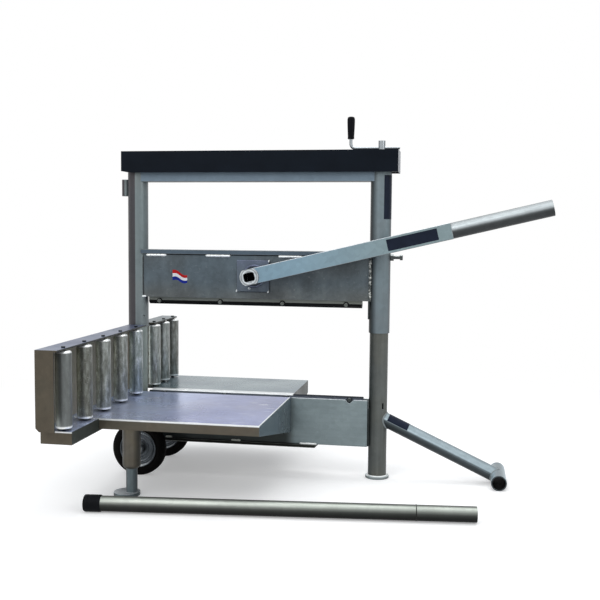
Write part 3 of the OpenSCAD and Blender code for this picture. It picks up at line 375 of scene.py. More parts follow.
# rollers: zinc run in streaks along the tube, crusty specks, painted light on the left side with a painted
# shade line at its edge, a painted shine on the shoulders and low down, and a painted shadow under the lower
# end
rollerLooks = {
    "rollerCalm": dict(tone=(100, 104, 103), dark=(92, 96, 94), light=(110, 116, 116), run=0.5, crust=0.12,
        rough=0.42),
    "rollerRun": dict(tone=(101, 103, 97), dark=(76, 77, 70), light=(134, 138, 134), run=0.7, crust=0.4,
        rough=0.38),
    "rollerPale": dict(tone=(122, 126, 122), dark=(88, 90, 84), light=(164, 170, 168), run=0.7, crust=0.35,
        rough=0.36),
    "rollerBlue": dict(tone=(130, 140, 140), dark=(102, 110, 108), light=(184, 192, 202), run=0.7, crust=0.25,
        rough=0.28),
    "rollerLast": dict(tone=(120, 123, 120), dark=(88, 88, 82), light=(160, 167, 164), run=0.7, crust=0.2,
        rough=0.36),
    "rollerRear": dict(tone=(136, 141, 139), dark=(100, 101, 95), light=(176, 184, 183), run=0.7, crust=0.2,
        rough=0.34),
}
rollerFine = {"runs": (130.0, 130.0, 40.0), "crustSize": 330.0, "share": 0.4, "stops": (0.36, 0.5, 0.64),
              # lift, rim, shoulder and end hold the painted light: a lit left side, a shaded left edge, shine
              # on the shoulders, a shine band and a shadow at the lower end
              "specks": (0.64, 0.72), "speckTone": (232, 236, 230), "pale": (246, 249, 249),
              "black": (6, 7, 7), "lift": (2.9, 2.9, 2.8, 1.0), "paintedLightTurn": (0.2, -0.6),
              "rim": (0.2, 0.2, 0.2, 1.0), "edgeShadeTurn": (-0.86, -0.97), "shoulder": (0.12, 0.4),
              "end": (240.4, 241.4, 244.4, 247.6), "metal": 0.55}


def rollerSkin(name, **changes):
    look = dict(rollerFine, **changes)
    skin, tree, shader = newSkin(name)
    at, spot, facing = coords(tree)
    runs = noise(tree, stretch(tree, at, look["runs"]), 1.0, 5.0, 0.62)
    crust = noise(tree, at, look["crustSize"], 3.0, 0.6)
    share = look["share"] * look["crust"]
    both = calc(tree, "ADD", calc(tree, "MULTIPLY", runs, 1.0 - share), calc(tree, "MULTIPLY", crust, share))
    hues = [tint(*look[key]) for key in ("dark", "tone", "light")]
    band = ramp(tree, both, list(zip(look["stops"], hues)))
    tone = mixTone(tree, look["run"], tint(*look["tone"]), band.outputs["Color"])
    tone = mixTone(tree, span(tree, crust, *look["specks"], 0.0, look["crust"]), tone,
                   tint(*look["speckTone"]))
    # painted light: the left side brightened
    tone = mixTone(tree, span(tree, facing["X"], *look["paintedLightTurn"], 0.0, 1.0, True), tone, look["lift"],
                   "MULTIPLY")
    # painted shade: a dark line along the left edge
    tone = mixTone(tree, span(tree, facing["X"], *look["edgeShadeTurn"], 0.0, 1.0), tone, look["rim"], "MULTIPLY")
    # painted highlight on the sloping shoulders
    tilted = span(tree, calc(tree, "ABSOLUTE", facing["Z"]), *look["shoulder"], 0.0, 1.0, True)
    tone = mixTone(tree, tilted, tone, tint(*look["pale"]))
    # a painted highlight band low down, and a painted shadow under the lower end
    black, blackEnd, pale, paintedShineEnd = (height * mm for height in look["end"])
    tone = mixTone(tree, span(tree, spot["Z"], paintedShineEnd, pale, 0.0, 1.0), tone, tint(*look["pale"]))
    tone = mixTone(tree, span(tree, spot["Z"], blackEnd, black, 0.0, 1.0), tone, tint(*look["black"]))
    rough = sway(tree, both, look["rough"] + 0.1, look["rough"] - 0.08)
    feed(tree, shader, tone, rough, raised(tree, both, 0.25, 0.0006), look["metal"])
    return skin


# powder paint of the cover: near black blue, fine orange peel, a painted highlight on the upward faces and
# the top bend, a bare right end
paintLooks = {
    # dust holds the tone of the painted highlight on upward faces
    "coverPaint": dict(tone=(16, 22, 30), dust=(60, 66, 76), dustMost=0.3, end=(162, 165, 169), rough=0.45,
        cloudSize=14.0, gritSize=260.0, peelSize=700.0, gloss=0.06),
}


def paintSkin(name, **look):
    skin, tree, shader = newSkin(name)
    at, _, facing = coords(tree)
    cloud = noise(tree, at, look["cloudSize"], 4.0)
    tone = dim(tree, tint(*look["tone"]), sway(tree, cloud, 0.85, 1.18))
    grit = span(tree, noise(tree, at, look["gritSize"], 2.0), 0.35, 0.7, 0.5, 1.0)
    # painted highlight on upward faces, broken up by grit
    topHighlight = calc(tree, "MULTIPLY", span(tree, facing["Z"], 0.4, 0.95, 0.0, look["dustMost"], True), grit)
    tone = mixTone(tree, topHighlight, tone, tint(*look["dust"]))
    tone = mixTone(tree, span(tree, facing["X"], 0.7, 0.95, 0.0, 1.0), tone, tint(*look["end"]))
    rough = sway(tree, cloud, look["rough"] - 0.06, look["rough"] + 0.08)
    peel = raised(tree, noise(tree, at, look["peelSize"], 2.0), 0.12, 0.0003)
    feed(tree, shader, tone, rough, peel, gloss=look["gloss"])
    return skin


# rubber and plastic: dull, finely pebbled
rubberLooks = {
    "tyreRubber": dict(tone=(12, 11, 11), worn=(26, 25, 24), rough=0.72, pebble=500.0),
    "gripPlastic": dict(tone=(15, 15, 19), worn=(28, 28, 34), rough=0.42, pebble=800.0),
    "capPlastic": dict(tone=(17, 18, 21), worn=(34, 35, 40), rough=0.5, pebble=600.0),
}


def rubberSkin(name, tone, worn, rough, pebble, cloudSize=30.0, gloss=0.05):
    skin, tree, shader = newSkin(name)
    at = objectAt(tree)
    cloud, grit = noise(tree, at, cloudSize, 4.0), noise(tree, at, pebble, 2.0)
    hue = mixTone(tree, span(tree, cloud, 0.45, 0.8, 0.0, 0.6), tint(*tone), tint(*worn))
    feed(tree, shader, hue, sway(tree, grit, rough - 0.08, rough + 0.08), raised(tree, grit, 0.2, 0.0004),
         gloss=gloss)
    return skin


# weld metal: rippled, with blots of another tone from low to high
weldLooks = {
    "weldPale": dict(tone=(247, 250, 249), blots=(176, 176, 168)),
    "weldGrey": dict(tone=(124, 132, 134), blots=(62, 66, 66)),
    "weldDark": dict(tone=(44, 48, 50), blots=(120, 126, 126)),
    "weldSpeck": dict(tone=(64, 70, 70), blots=(244, 246, 240), low=0.48, high=0.62),
    "weldSpotted": dict(tone=(206, 208, 200), blots=(58, 62, 60)),
}


def weldSkin(name, tone, blots, low=0.56, high=0.74, blotSize=160.0, metal=0.25):
    skin, tree, shader = newSkin(name)
    blot = noise(tree, objectAt(tree), blotSize, 4.0, 0.65)
    hue = mixTone(tree, span(tree, blot, low, high, 0.0, 0.8), tint(*tone), tint(*blots))
    feed(tree, shader, hue, sway(tree, blot, 0.3, 0.5), raised(tree, blot, 0.35, 0.0008), metal)
    return skin


# knife steel: dark scale on the bevel, rubbed bright on the flat above or below it, and a painted highlight
# along the lower knife's top
knifeLooks = {
    "upperKnife": dict(flat=(116, 120, 114), scale=(8, 9, 10), flatRun=(511.5, 513.0),
                       boltsX=(-666.5, -476.5, -286.5, -96.5), boltZ=509.5),
    "lowerKnife": dict(flat=(76, 82, 92), scale=(36, 40, 46), flatRun=(236.0, 231.0),
                       boltsX=(-653.0, -463.0, -273.0, -83.0), boltZ=230.0, shine=(234.4, 235.2, -252, -256)),
}
knifeFine = {"rub": (25.0, 90.0, 160.0), "seat": (8.5, 9.5), "shineTone": (238, 242, 244), "shineMost": 0.95,
             "metal": 0.35, "gloss": 0.1}


def knifeSkin(name, flat, scale, flatRun, boltsX, boltZ, shine=None):
    skin, tree, shader = newSkin(name)
    at, spot, _ = coords(tree)
    rub = noise(tree, stretch(tree, at, knifeFine["rub"]), 1.0, 4.0, 0.6)
    flatTone = dim(tree, tint(*flat), sway(tree, rub, 0.82, 1.18))
    darkTone = dim(tree, tint(*scale), sway(tree, rub, 0.7, 1.4))
    onFlat = span(tree, spot["Z"], flatRun[0] * mm, flatRun[1] * mm, 0.0, 1.0)
    bare, full = (r * mm for r in knifeFine["seat"])
    for x in boltsX:  # dark seat round each bolt
        reach = apart(tree, spot, "X", x, "Z", boltZ)
        onFlat = calc(tree, "MULTIPLY", onFlat, span(tree, reach, bare, full, 0.0, 1.0))
    tone = mixTone(tree, onFlat, darkTone, flatTone)
    if shine:  # painted highlight from a height up, as far as the rear table goes
        start, whole, end, endFull = (value * mm for value in shine)
        lit = calc(tree, "MULTIPLY", span(tree, spot["Z"], start, whole, 0.0, knifeFine["shineMost"]),
                   span(tree, spot["X"], end, endFull, 0.0, 1.0))
        tone = mixTone(tree, lit, tone, dim(tree, tint(*knifeFine["shineTone"]), sway(tree, rub, 0.85, 1.05)))
    feed(tree, shader, tone, sway(tree, rub, 0.36, 0.52), raised(tree, rub, 0.15, 0.0004), knifeFine["metal"],
         knifeFine["gloss"])
    return skin


# blank films and the striped sticker
filmLooks = {
    "darkFilm": dict(tone=(32, 38, 52), rough=0.35),
    "stripeRed": dict(tone=(178, 34, 34), rough=0.4),
    "stripeWhite": dict(tone=(226, 228, 230), rough=0.4),
    "stripeBlue": dict(tone=(30, 44, 132), rough=0.4),
}


def filmSkin(name, tone, rough, cloudSize=40.0, peelSize=500.0, gloss=0.06):
    skin, tree, shader = newSkin(name)
    at = objectAt(tree)
    cloud = noise(tree, at, cloudSize, 3.0)
    hue = dim(tree, tint(*tone), sway(tree, cloud, 0.86, 1.14))
    peel = raised(tree, noise(tree, at, peelSize, 2.0), 0.05, 0.0002)
    feed(tree, shader, hue, sway(tree, cloud, rough - 0.06, rough + 0.06), peel, gloss=gloss)
    return skin


skins = {}
makers = [(zincSkin, zincLooks), (rollerSkin, rollerLooks), (paintSkin, paintLooks),
          (rubberSkin, rubberLooks), (weldSkin, weldLooks), (knifeSkin, knifeLooks), (filmSkin, filmLooks)]
for maker, looks in makers:
    for name, look in looks.items():
        skins[name] = maker(name, **look)
print("finishes ready:", len(skins))


# making pieces
def place(name, mesh, skin, body, stands=()):
    obj = bpy.data.objects.new(name, mesh)
    scene.collection.objects.link(obj)
    for one in (skin if isinstance(skin, list) else [skin]):
        mesh.materials.append(skins[one])
    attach(obj, body)
    if stands:
        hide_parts(*stands)
    return obj


def meshFrom(bm, name, smooth=True):
    mesh = bpy.data.meshes.new(name)
    for face in bm.faces:
        face.smooth = smooth
    bm.to_mesh(mesh)
    bm.free()
    return mesh


# a node's own shape with its doubles merged and its sharp edges rounded;
# the faces that a test in spots picks get its skin
roundSet = {"merge": 0.02, "flat": 0.6, "segments": 2, "angle": 32}


def softCopy(node, skin, edge, edgeSkin=None, spots=(), slot="galvanised"):
    source = nodes[node]
    bm = bmesh.new()
    bm.from_mesh(source.data)
    bmesh.ops.remove_doubles(bm, verts=bm.verts, dist=roundSet["merge"] * mm)
    bmesh.ops.dissolve_limit(bm, angle_limit=math.radians(roundSet["flat"]), verts=bm.verts, edges=bm.edges)
    bm.normal_update()
    for face in bm.faces:
        face.material_index = next((i for i, (test, _) in enumerate(spots, 2) if test(face)), 0)
    mesh = meshFrom(bm, node + "Form")
    finishes = [skin, edgeSkin or skin] + [name for _, name in spots]
    obj = place(node + "Form", mesh, finishes, source["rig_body"], [node])
    sharp = math.radians(roundSet["angle"])
    mesh.set_sharp_from_angle(angle=sharp)
    rounding = obj.modifiers.new("rounding", "BEVEL")
    rounding.limit_method = "ANGLE"
    rounding.angle_limit = sharp
    rounding.width = edge * mm
    rounding.segments = roundSet["segments"]
    rounding.harden_normals = True
    rounding.use_clamp_overlap = True
    rounding.material = 1 if edgeSkin else -1
    return obj


def boreOf(point, along, r, play=0.6):  # says whether a face lies on the wall of a round bore
    point, along = Vector(point) * mm, Vector(along).normalized()

    def inside(face):
        out = face.calc_center_median() - point
        out -= along * out.dot(along)
        return out.length < (r + play) * mm and face.normal.dot(out) < -0.3 * out.length
    return inside


def dress(node, skin):  # the node keeps its own shape
    slots = nodes[node].material_slots
    for one in slots:
        one.material = skins[skin]
    if not slots:
        nodes[node].data.materials.append(skins[skin])


# turned pieces: a profile of (radius, height) in mm spun round Z, then put in one or more places
def turned(name, profile, where, skin, body, stands=(), steps=48, sharp=38):
    bm = bmesh.new()
    ring = [bm.verts.new((r * mm, 0, h * mm)) for r, h in profile]
    for a, b in zip(ring, ring[1:]):
        bm.edges.new((a, b))
    if profile[0][0] > 0.001:
        bm.edges.new((ring[-1], ring[0]))
    bmesh.ops.spin(bm, geom=bm.verts[:] + bm.edges[:], cent=(0, 0, 0), axis=(0, 0, 1), angle=2 * math.pi,
                   steps=steps, use_merge=True)
    bmesh.ops.remove_doubles(bm, verts=bm.verts, dist=0.000005)
    bmesh.ops.recalc_face_normals(bm, faces=bm.faces)
    spots = where if isinstance(where, list) else [where]
    first = bm.verts[:] + bm.edges[:] + bm.faces[:]
    for spot in spots[1:]:
        more = bmesh.ops.duplicate(bm, geom=first)["geom"]
        bmesh.ops.transform(bm, matrix=spot, verts=[v for v in more if isinstance(v, bmesh.types.BMVert)])
    bmesh.ops.transform(bm, matrix=spots[0], verts=[v for v in first if isinstance(v, bmesh.types.BMVert)])
    mesh = meshFrom(bm, name)
    mesh.set_sharp_from_angle(angle=math.radians(sharp))
    return place(name, mesh, skin, body, stands)


def shift(x, y, z):
    return Matrix.Translation((x * mm, y * mm, z * mm))


alongY = Matrix.Rotation(math.radians(90), 4, "X")
alongX = Matrix.Rotation(math.radians(90), 4, "Y")


# weld seams: a curve along the joint whose thickness ripples, made into a mesh
seamSet = {"tip": 0.45, "tipStep": 0.28, "thin": 0.92, "ripple": 0.14, "sides": 2}


def seam(name, points, thick, skin, body, closed=False, pitch=5.0):
    curve = bpy.data.curves.new(name, "CURVE")
    curve.dimensions = "3D"
    curve.bevel_depth = thick * mm
    curve.bevel_resolution = seamSet["sides"]
    curve.use_fill_caps = True
    line = curve.splines.new("POLY")
    line.points.add(len(points) - 1)
    line.use_cyclic_u = closed
    run = 0.0
    for i, spot in enumerate(points):
        if i:
            run += (Vector(spot) - Vector(points[i - 1])).length
        line.points[i].co = (spot[0] * mm, spot[1] * mm, spot[2] * mm, 1.0)
        inward = min(i, len(points) - 1 - i)
        ends = 1.0 if closed else min(1.0, seamSet["tip"] + inward * seamSet["tipStep"])
        wave = seamSet["ripple"] * abs(math.sin(math.pi * run / pitch))
        line.points[i].radius = ends * (seamSet["thin"] + wave)
    drawn = bpy.data.objects.new(name + "Line", curve)
    scene.collection.objects.link(drawn)
    mesh = bpy.data.meshes.new_from_object(drawn.evaluated_get(bpy.context.evaluated_depsgraph_get()))
    bpy.data.objects.remove(drawn)
    mesh.name = name
    mesh.materials.clear()
    mesh.shade_smooth()
    return place(name, mesh, skin, body)


def straight(a, b, gap=1.7):
    a, b = Vector(a), Vector(b)
    count = max(3, int((b - a).length / gap))
    return [tuple(a.lerp(b, i / count)) for i in range(count + 1)]


# frame work: posts, beams, sheets
braceSet = {"top": (0, 183), "end": (350, 22), "r": 21, "bore": 18, "postR": 27, "crossR": 22,
            "crossBore": 19, "film": (30, 94), "filmTurn": (12, 125)}
leverSet = {"x": -369, "z": 590, "tilt": 13.5, "y": -69, "bore": 20.5, "socket": (16.4, 12.9),
            "socketY": (-93.4, -53.0), "film": (407.5, 551), "filmHigh": (-16, 16.5), "face": -92}
railSet = {"web": -752, "flange": 430, "floor": 330}
barSet = {"x": -707, "y": -484, "z": 22, "turn": 6.3, "bore": 17, "ring": (845, 849), "ringR": 20.3}
# slopes of the brace and of the lever
lean = math.atan2(braceSet["end"][1] - braceSet["top"][1], braceSet["end"][0] - braceSet["top"][0])
tilt = math.radians(leverSet["tilt"])


faceSet = {"side": 0.8, "up": 0.7, "webNear": 2}  # how far a face looks to a side or up


def railEdge(face):  # right-hand faces of a rail, without its web
    off = abs(face.calc_center_median().x / mm - railSet["web"])
    return rightSide(face) and off > faceSet["webNear"]


def rightSide(face):
    return face.normal.x > faceSet["side"]


def railTop(face):
    return face.normal.z > faceSet["up"] and face.calc_center_median().z / mm > railSet["flange"]


def panFloor(face):
    return face.normal.z > faceSet["up"] and face.calc_center_median().z / mm < railSet["floor"]


def frontSide(face):
    return face.normal.y < -faceSet["side"]


def inSocket(face):  # walls and floor of the hub's socket
    spot = face.calc_center_median() / mm
    dx, dz = spot.x - leverSet["x"], spot.z - leverSet["z"]
    along, across = dx * math.cos(tilt) + dz * math.sin(tilt), dz * math.cos(tilt) - dx * math.sin(tilt)
    return (leverSet["socketY"][0] < spot.y < leverSet["socketY"][1] and abs(along) < leverSet["socket"][0]
            and abs(across) < leverSet["socket"][1])


railSpots = [(railEdge, "railShade"), (railTop, "flangeZinc")]
(topX, topZ), (endX, endZ) = braceSet["top"], braceSet["end"]
footBores = [(boreOf((endX, 0, endZ), (0, 1, 0), braceSet["crossBore"]), "boreDark"),
             (boreOf((topX, 0, topZ), (math.cos(lean), 0, math.sin(lean)), braceSet["bore"]), "boreDark")]
handleBore = boreOf((leverSet["x"], leverSet["y"], leverSet["z"]), (math.cos(tilt), 0, math.sin(tilt)),
                    leverSet["bore"])
barTurn = math.radians(barSet["turn"])
barPoint, barAxis = (barSet["x"], barSet["y"], barSet["z"]), Vector((math.cos(barTurn), math.sin(barTurn), 0))
barBore = boreOf(barPoint, barAxis, barSet["bore"])


def barRing(face):  # outside of the stop ring
    out = face.calc_center_median() - Vector(barPoint) * mm
    along = out.dot(barAxis)
    near, far = (end * mm for end in barSet["ring"])
    return near < along < far and (out - barAxis * along).length > barSet["ringR"] * mm


softSet = {  # finish, rounding, finish of the rounded edges, spots with another finish
    "right_post": ("postZinc", 0.8),
    "left_post": ("leftPost", 0.8),
    "round_foot": ("footZinc", 1.6),
    "lower_plates": ("lowerZinc", 0.9),
    "lower_core": ("shadeZinc", 0.5),
    "lower_sole": ("soleZinc", 1.8, "soleEdge"),
    "front_table": ("tableZinc", 1.6, None, [(frontSide, "skirtZinc")]),
    "rear_table": ("rearTableZinc", 1.4, None, [(rightSide, "railShade")]),
    # the pan floor takes the table's finish, with its painted light towards the rail
    "front_rail": ("railZinc", 1.2, None, railSpots + [(panFloor, "tableZinc")]),
    "rear_rail": ("railZinc", 1.2, None, [(railEdge, "railShade"), (railTop, "rearFlange")]),
    "side_foot": ("braceZinc", 0.8, None, footBores),
    "axle_block": ("shadeZinc", 1.0),
    "leg_tube": ("legZinc", 1.2),
    "leg_rod": ("rodZinc", 1.0),
    "right_sleeve": ("rightSleeve", 1.0),
    "left_sleeve": ("leftSleeve", 1.0),
    "crossbeam": ("beamZinc", 3.6, "beamEdge"),
    "upper_front_plate": ("plateZinc", 1.2, "plateEdge"),
    "upper_rear_plate": ("plateZinc", 0.9),
    "upper_cap": ("capZinc", 1.8, "capEdge"),
    "bearing_plates": ("bearingZinc", 1.2),
    "knife_guides": ("shadeZinc", 0.6),
    "rod_holder": ("leftSleeve", 0.8),
    "lever_tube": ("leverZinc", 3.4, "leverEdge"),
    "lever_handle": ("handleZinc", 0.7, None, [(handleBore, "boreDark")]),
    "eccentric": ("hubZinc", 2.0, "hubEdge", [(inSocket, "boreDark")]),
    "extension_bar": ("barZinc", 0.8, None, [(barBore, "boreDark"), (barRing, "soleZinc")]),
}
edgeSet = {"knife": 0.4, "small": 0.5, "cover": 1.8}  # rounding of the other kinds
for node, look in softSet.items():
    softCopy(node, *look)
for node, skin in {"lower_knife": "lowerKnife", "upper_knife": "upperKnife"}.items():
    softCopy(node, skin, edgeSet["knife"], slot="knife_steel")
smallSet = {"lower_bolts": "shadeZinc", "upper_bolts": "boltZinc", "lock_screw": "screwZinc",
            "crank_head": "rodSteel", "crank_rod": "rodSteel"}
for node, skin in smallSet.items():
    softCopy(node, skin, edgeSet["small"], slot="plain_steel")
softCopy("top_cover", "coverPaint", edgeSet["cover"], slot="dark_paint")
plainSet = {"roller_axles": "pinSteel", "wheel_axle": "plainSteel", "spindle_nuts": "nutBrass",
            "head_plate": "capZinc", "chain": "pinSteel", "right_spindle": "plainSteel",
            "left_spindle": "plainSteel", "right_sprocket": "plainSteel", "left_sprocket": "plainSteel",
            "knife_carrier": "shadeZinc"}
for node, skin in plainSet.items():
    dress(node, skin)
print("frame work dressed")


# rollers
rollerSet = {"x": -710, "low": 238, "top": 430, "r": 20, "axle": 5.5,
             "y": [-592, -469, -346, -223, -100, 60, 151, 242],
             "foot": [(7, 0), (3.2, 0.8), (1.0, 2.6), (0, 5.6)],
             "head": [(0, 6.0), (0.8, 3.2), (2.8, 1.4), (6, 0.4), (9, 0)],
             "skin": ["rollerCalm", "rollerRun", "rollerPale", "rollerPale", "rollerBlue", "rollerRear",
                      "rollerRear", "rollerLast"]}
r, low, top, axle = (rollerSet[key] for key in ("r", "low", "top", "axle"))
profile = [(axle, low)] + [(r - less, low + up) for less, up in rollerSet["foot"]]
profile += [(r - less, top - down) for less, down in rollerSet["head"]] + [(axle, top)]
for i, (y, skin) in enumerate(zip(rollerSet["y"], rollerSet["skin"]), 1):
    turned(f"rollerTube{i}", profile, shift(rollerSet["x"], y, 0), skin, f"roller_body_{i}",
           [f"roller_{i}"])
print("rollers turned")


# wheels: tyre, and a rim with a ringed disc; both profiles are mirrored at the wheel's middle
wheelSet = {"x": -694, "z": 80, "y": 114.5, "r": 80, "half": 17.5, "rim": 55, "bore": 10.4, "hub": 18,
            "hubHalf": 20.5, "tread": 9, "grooves": (-6.5, 0, 6.5), "groove": (1.6, 1.0, 1.8), "steps": 72}
r, half, rim, hub, hubHalf = (wheelSet[key] for key in ("r", "half", "rim", "hub", "hubHalf"))
wide, narrow, deep = wheelSet["groove"]
wall = [(rim, half - 3), (rim + 4, half - 1), (rim + 8, half), (r - 10, half - 0.3), (r - 4.5, half - 2.5),
        (r - 1.4, half - 6), (r, wheelSet["tread"])]
tyre = [(at, -high) for at, high in wall]
for at in wheelSet["grooves"]:
    tyre += [(r, at - wide), (r - deep, at - narrow), (r - deep, at + narrow), (r, at + wide)]
tyre += reversed(wall)
disc = [(wheelSet["bore"], hubHalf), (hub - 1.2, hubHalf), (hub, hubHalf - 1.2), (hub, 5.0), (hub + 2, 3.0),
        (hub + 8, 3.0), (hub + 9, 4.8), (hub + 11, 4.8), (hub + 12, 3.0), (rim - 17, 3.0), (rim - 15, 5.6),
        (rim - 12, 5.6), (rim - 10, 3.2), (rim - 5.5, 3.2), (rim - 4, 5.0), (rim - 4, half - 0.8),
        (rim - 3, half), (rim - 0.6, half), (rim, half - 0.6)]
disc += [(at, -high) for at, high in reversed(disc)]
for name, side in (("front", -1), ("rear", 1)):
    where = shift(wheelSet["x"], side * wheelSet["y"], wheelSet["z"]) @ alongY
    turned(name + "Tyre", tyre, where, "tyreRubber", name + "_wheel", [name + "_tyre"],
           steps=wheelSet["steps"], sharp=50)
    turned(name + "Rim", disc, where, "rimZinc", name + "_wheel", [name + "_rim"],
           steps=wheelSet["steps"], sharp=30)
print("wheels made")


# crank grip, bar cap, cover screws, hub seat, grease nipple
crankSet = {"x": -90}
gripShape = [(4.7, 990.5), (8.2, 990.5), (9.4, 991.6), (9.7, 993.5), (9.2, 996), (9.6, 1004), (10.4, 1020),
             (11.0, 1038), (11.0, 1046), (10.4, 1050.5), (8.6, 1053.4), (5.5, 1054.5), (4.7, 1054.3)]
turned("crankGrip", gripShape, shift(crankSet["x"], 0, 0), "gripPlastic", "grip",
       ["crank_grip"])
barPlace = shift(*barPoint) @ Matrix.Rotation(barTurn, 4, "Z") @ alongX
capShape = [(0, 0.0), (17.5, 0.0), (20.4, 0.9), (21.7, 3.0), (22, 6.0), (22, 12), (21.5, 12.6), (21.5, 14.4),
            (22, 15.0), (22, 41.5), (21.6, 44.2), (20.6, 45.0), (20.1, 45.0), (20.1, 4.0), (0, 4.0)]
turned("barCap", capShape, barPlace, "capPlastic", "bar", ["extension_cap"])
domeSet = {"x": (-602, -110), "top": 957}
domeShape = [(0, 0), (7, 0), (7, 0.6), (6.4, 1.9), (5.0, 3.0), (3.0, 3.7), (1.4, 4.0), (0, 4.0)]
turned("coverDomes", domeShape, [shift(x, 0, domeSet["top"]) for x in domeSet["x"]], "domeZinc", "portal",
       ["cover_screws"], steps=24)
seatSet = {"y": -30, "in": 28.5, "out": 34, "high": 6, "nipple": (-383, 553)}
seatIn, seatOut, seatHigh = seatSet["in"], seatSet["out"], seatSet["high"]
seatShape = [(seatIn, 0), (seatOut, 0), (seatOut, seatHigh - 1.5), (seatOut - 1.5, seatHigh),
             (seatIn + 1, seatHigh), (seatIn, seatHigh - 1)]
turned("hubSeat", seatShape, shift(leverSet["x"], seatSet["y"], leverSet["z"]) @ alongY, "seatZinc", "portal",
       steps=64)
nippleShape = [(0, 0), (3.6, 0), (3.6, 2.6), (2.2, 3.2), (2.0, 6.0), (3.0, 7.2), (2.8, 9.0), (1.4, 10.2),
               (0, 10.2)]
turned("greaseNipple", nippleShape, shift(seatSet["nipple"][0], seatSet["y"], seatSet["nipple"][1]) @ alongY,
       "domeZinc", "portal", steps=20)
print("small turned pieces made")


# weld seams: stitches along the beams, beads round the plates
noRipple = 1e9
stitchSet = {
    "capStitch": {"y": -21.5, "z": 648.6, "thick": 4.3, "body": "portal",
                  "runs": [(-705, -641, "weldPale"), (-519, -443, "weldPale"), (-298, -226, "weldPale"),
                           (-120, -62, "weldPale")]},
    "soleStitch": {"y": -21.5, "z": 94.5, "thick": 3.4, "body": "base",
        "runs": [(-645, -625, "weldSpotted"), (-439, -410, "weldSpotted"), (-230, -178, "weldPale")]},
}
for name, row in stitchSet.items():
    for i, (a, b, skin) in enumerate(row["runs"]):
        ends = [(x, row["y"], row["z"]) for x in (a, b)]
        seam(f"{name}{i}", straight(*ends), row["thick"], skin, row["body"])
beadSet = {  # both ends, thickness, finish, ripple, and a gap between points where it isn't the usual one
    # painted shadow under the cap's overhang, laid as a dark bead
    "capRoot": ((-712, -20.4, 651.2), (-27, -20.4, 651.2), 1.7, "boreDark", noRipple, 12),
    "leftPlateSeam": ((-715.4, -20.6, 528), (-715.4, -20.6, 646), 1.9, "weldDark", 7.0),
    "rightPlateSeam": ((-26.5, -20.0, 524), (-26.5, -20.0, 646), 4.2, "weldSpeck", 7.0),
    "cornerTopL": ((-721, -21.5, 656), (-707, -21.5, 656), 2.8, "weldPale", 5.0),
    "cornerLowL": ((-720, -21.5, 523), (-706, -21.5, 523), 2.8, "weldPale", 5.0),
    "bearingTack0": ((-423.5, -28.5, 542), (-420.5, -28.5, 550), 2.2, "weldPale", 5.0),
    "bearingTack1": ((-328, -28.5, 541), (-325, -28.5, 549), 2.2, "weldPale", 5.0),
    "bearingTack2": ((-326.5, -28.5, 630), (-323.5, -28.5, 638), 2.2, "weldPale", 5.0),
    "bearingSideSeam": ((-422.6, -21.4, 556), (-422.6, -21.4, 630), 1.9, "weldDark", 5.0),
    "bearingLowSeam": ((-413, -21.4, 543.2), (-333, -21.4, 543.2), 1.7, "weldDark", 5.0),
}
for name, (a, b, thick, skin, pitch, *gap) in beadSet.items():
    seam(name, straight(a, b, *gap), thick, skin, "portal", pitch=pitch)

# seams round the ends of the brace and round the post's foot
loopSet = {"points": 72, "pitch": 6.0, "post": 2.8, "cross": 2.4, "foot": 2.0, "footR": 28.2, "footZ": 8.6}
dx, dz = math.cos(lean), math.sin(lean)
ux, uz = -dz, dx
postLoop, crossLoop, footLoop = [], [], []
for k in range(loopSet["points"]):
    a = 2 * math.pi * k / loopSet["points"]
    up, out = braceSet["r"] * math.cos(a), braceSet["r"] * math.sin(a)
    t = (math.sqrt(braceSet["postR"] ** 2 - out ** 2) - up * ux) / dx
    postLoop.append((t * dx + up * ux, out, topZ + t * dz + up * uz))
    back = math.sqrt(max(braceSet["crossR"] ** 2 - up ** 2, 0.0))
    crossLoop.append((endX - back * dx + up * ux, out, endZ - back * dz + up * uz))
    footLoop.append((loopSet["footR"] * math.cos(a), loopSet["footR"] * math.sin(a), loopSet["footZ"]))
seam("bracePostSeam", postLoop, loopSet["post"], "weldGrey", "base", True, loopSet["pitch"])
seam("braceCrossSeam", crossLoop, loopSet["cross"], "weldGrey", "base", True, loopSet["pitch"])
seam("footSeam", footLoop, loopSet["foot"], "weldPale", "base", True, loopSet["pitch"])
print("seams laid")


# blank films, and a striped sticker
filmSet = {"lift": 0.05, "thick": 0.4, "steps": 24, "flat": 0.5, "over": 0.2, "corner": 1.5, "sharp": 38}


def wrapFilm(name, r, low, high, begin, stop, where, skin, body):
    bm = bmesh.new()
    near, far = r + filmSet["lift"], r + filmSet["thick"]
    ring = [bm.verts.new((reach * mm, 0, rise * mm)) for reach, rise in
            ((near, low), (far, low), (far, high), (near, high))]
    for a, b in zip(ring, ring[1:] + ring[:1]):
        bm.edges.new((a, b))
    bmesh.ops.spin(bm, geom=bm.verts[:] + bm.edges[:], cent=(0, 0, 0), axis=(0, 0, 1),
                   angle=math.radians(stop - begin), steps=filmSet["steps"])
    bmesh.ops.holes_fill(bm, edges=bm.edges, sides=4)
    bmesh.ops.recalc_face_normals(bm, faces=bm.faces)
    bmesh.ops.transform(bm, matrix=where @ Matrix.Rotation(math.radians(begin), 4, "Z"), verts=bm.verts)
    mesh = meshFrom(bm, name)
    mesh.set_sharp_from_angle(angle=math.radians(filmSet["sharp"]))
    return place(name, mesh, skin, body)


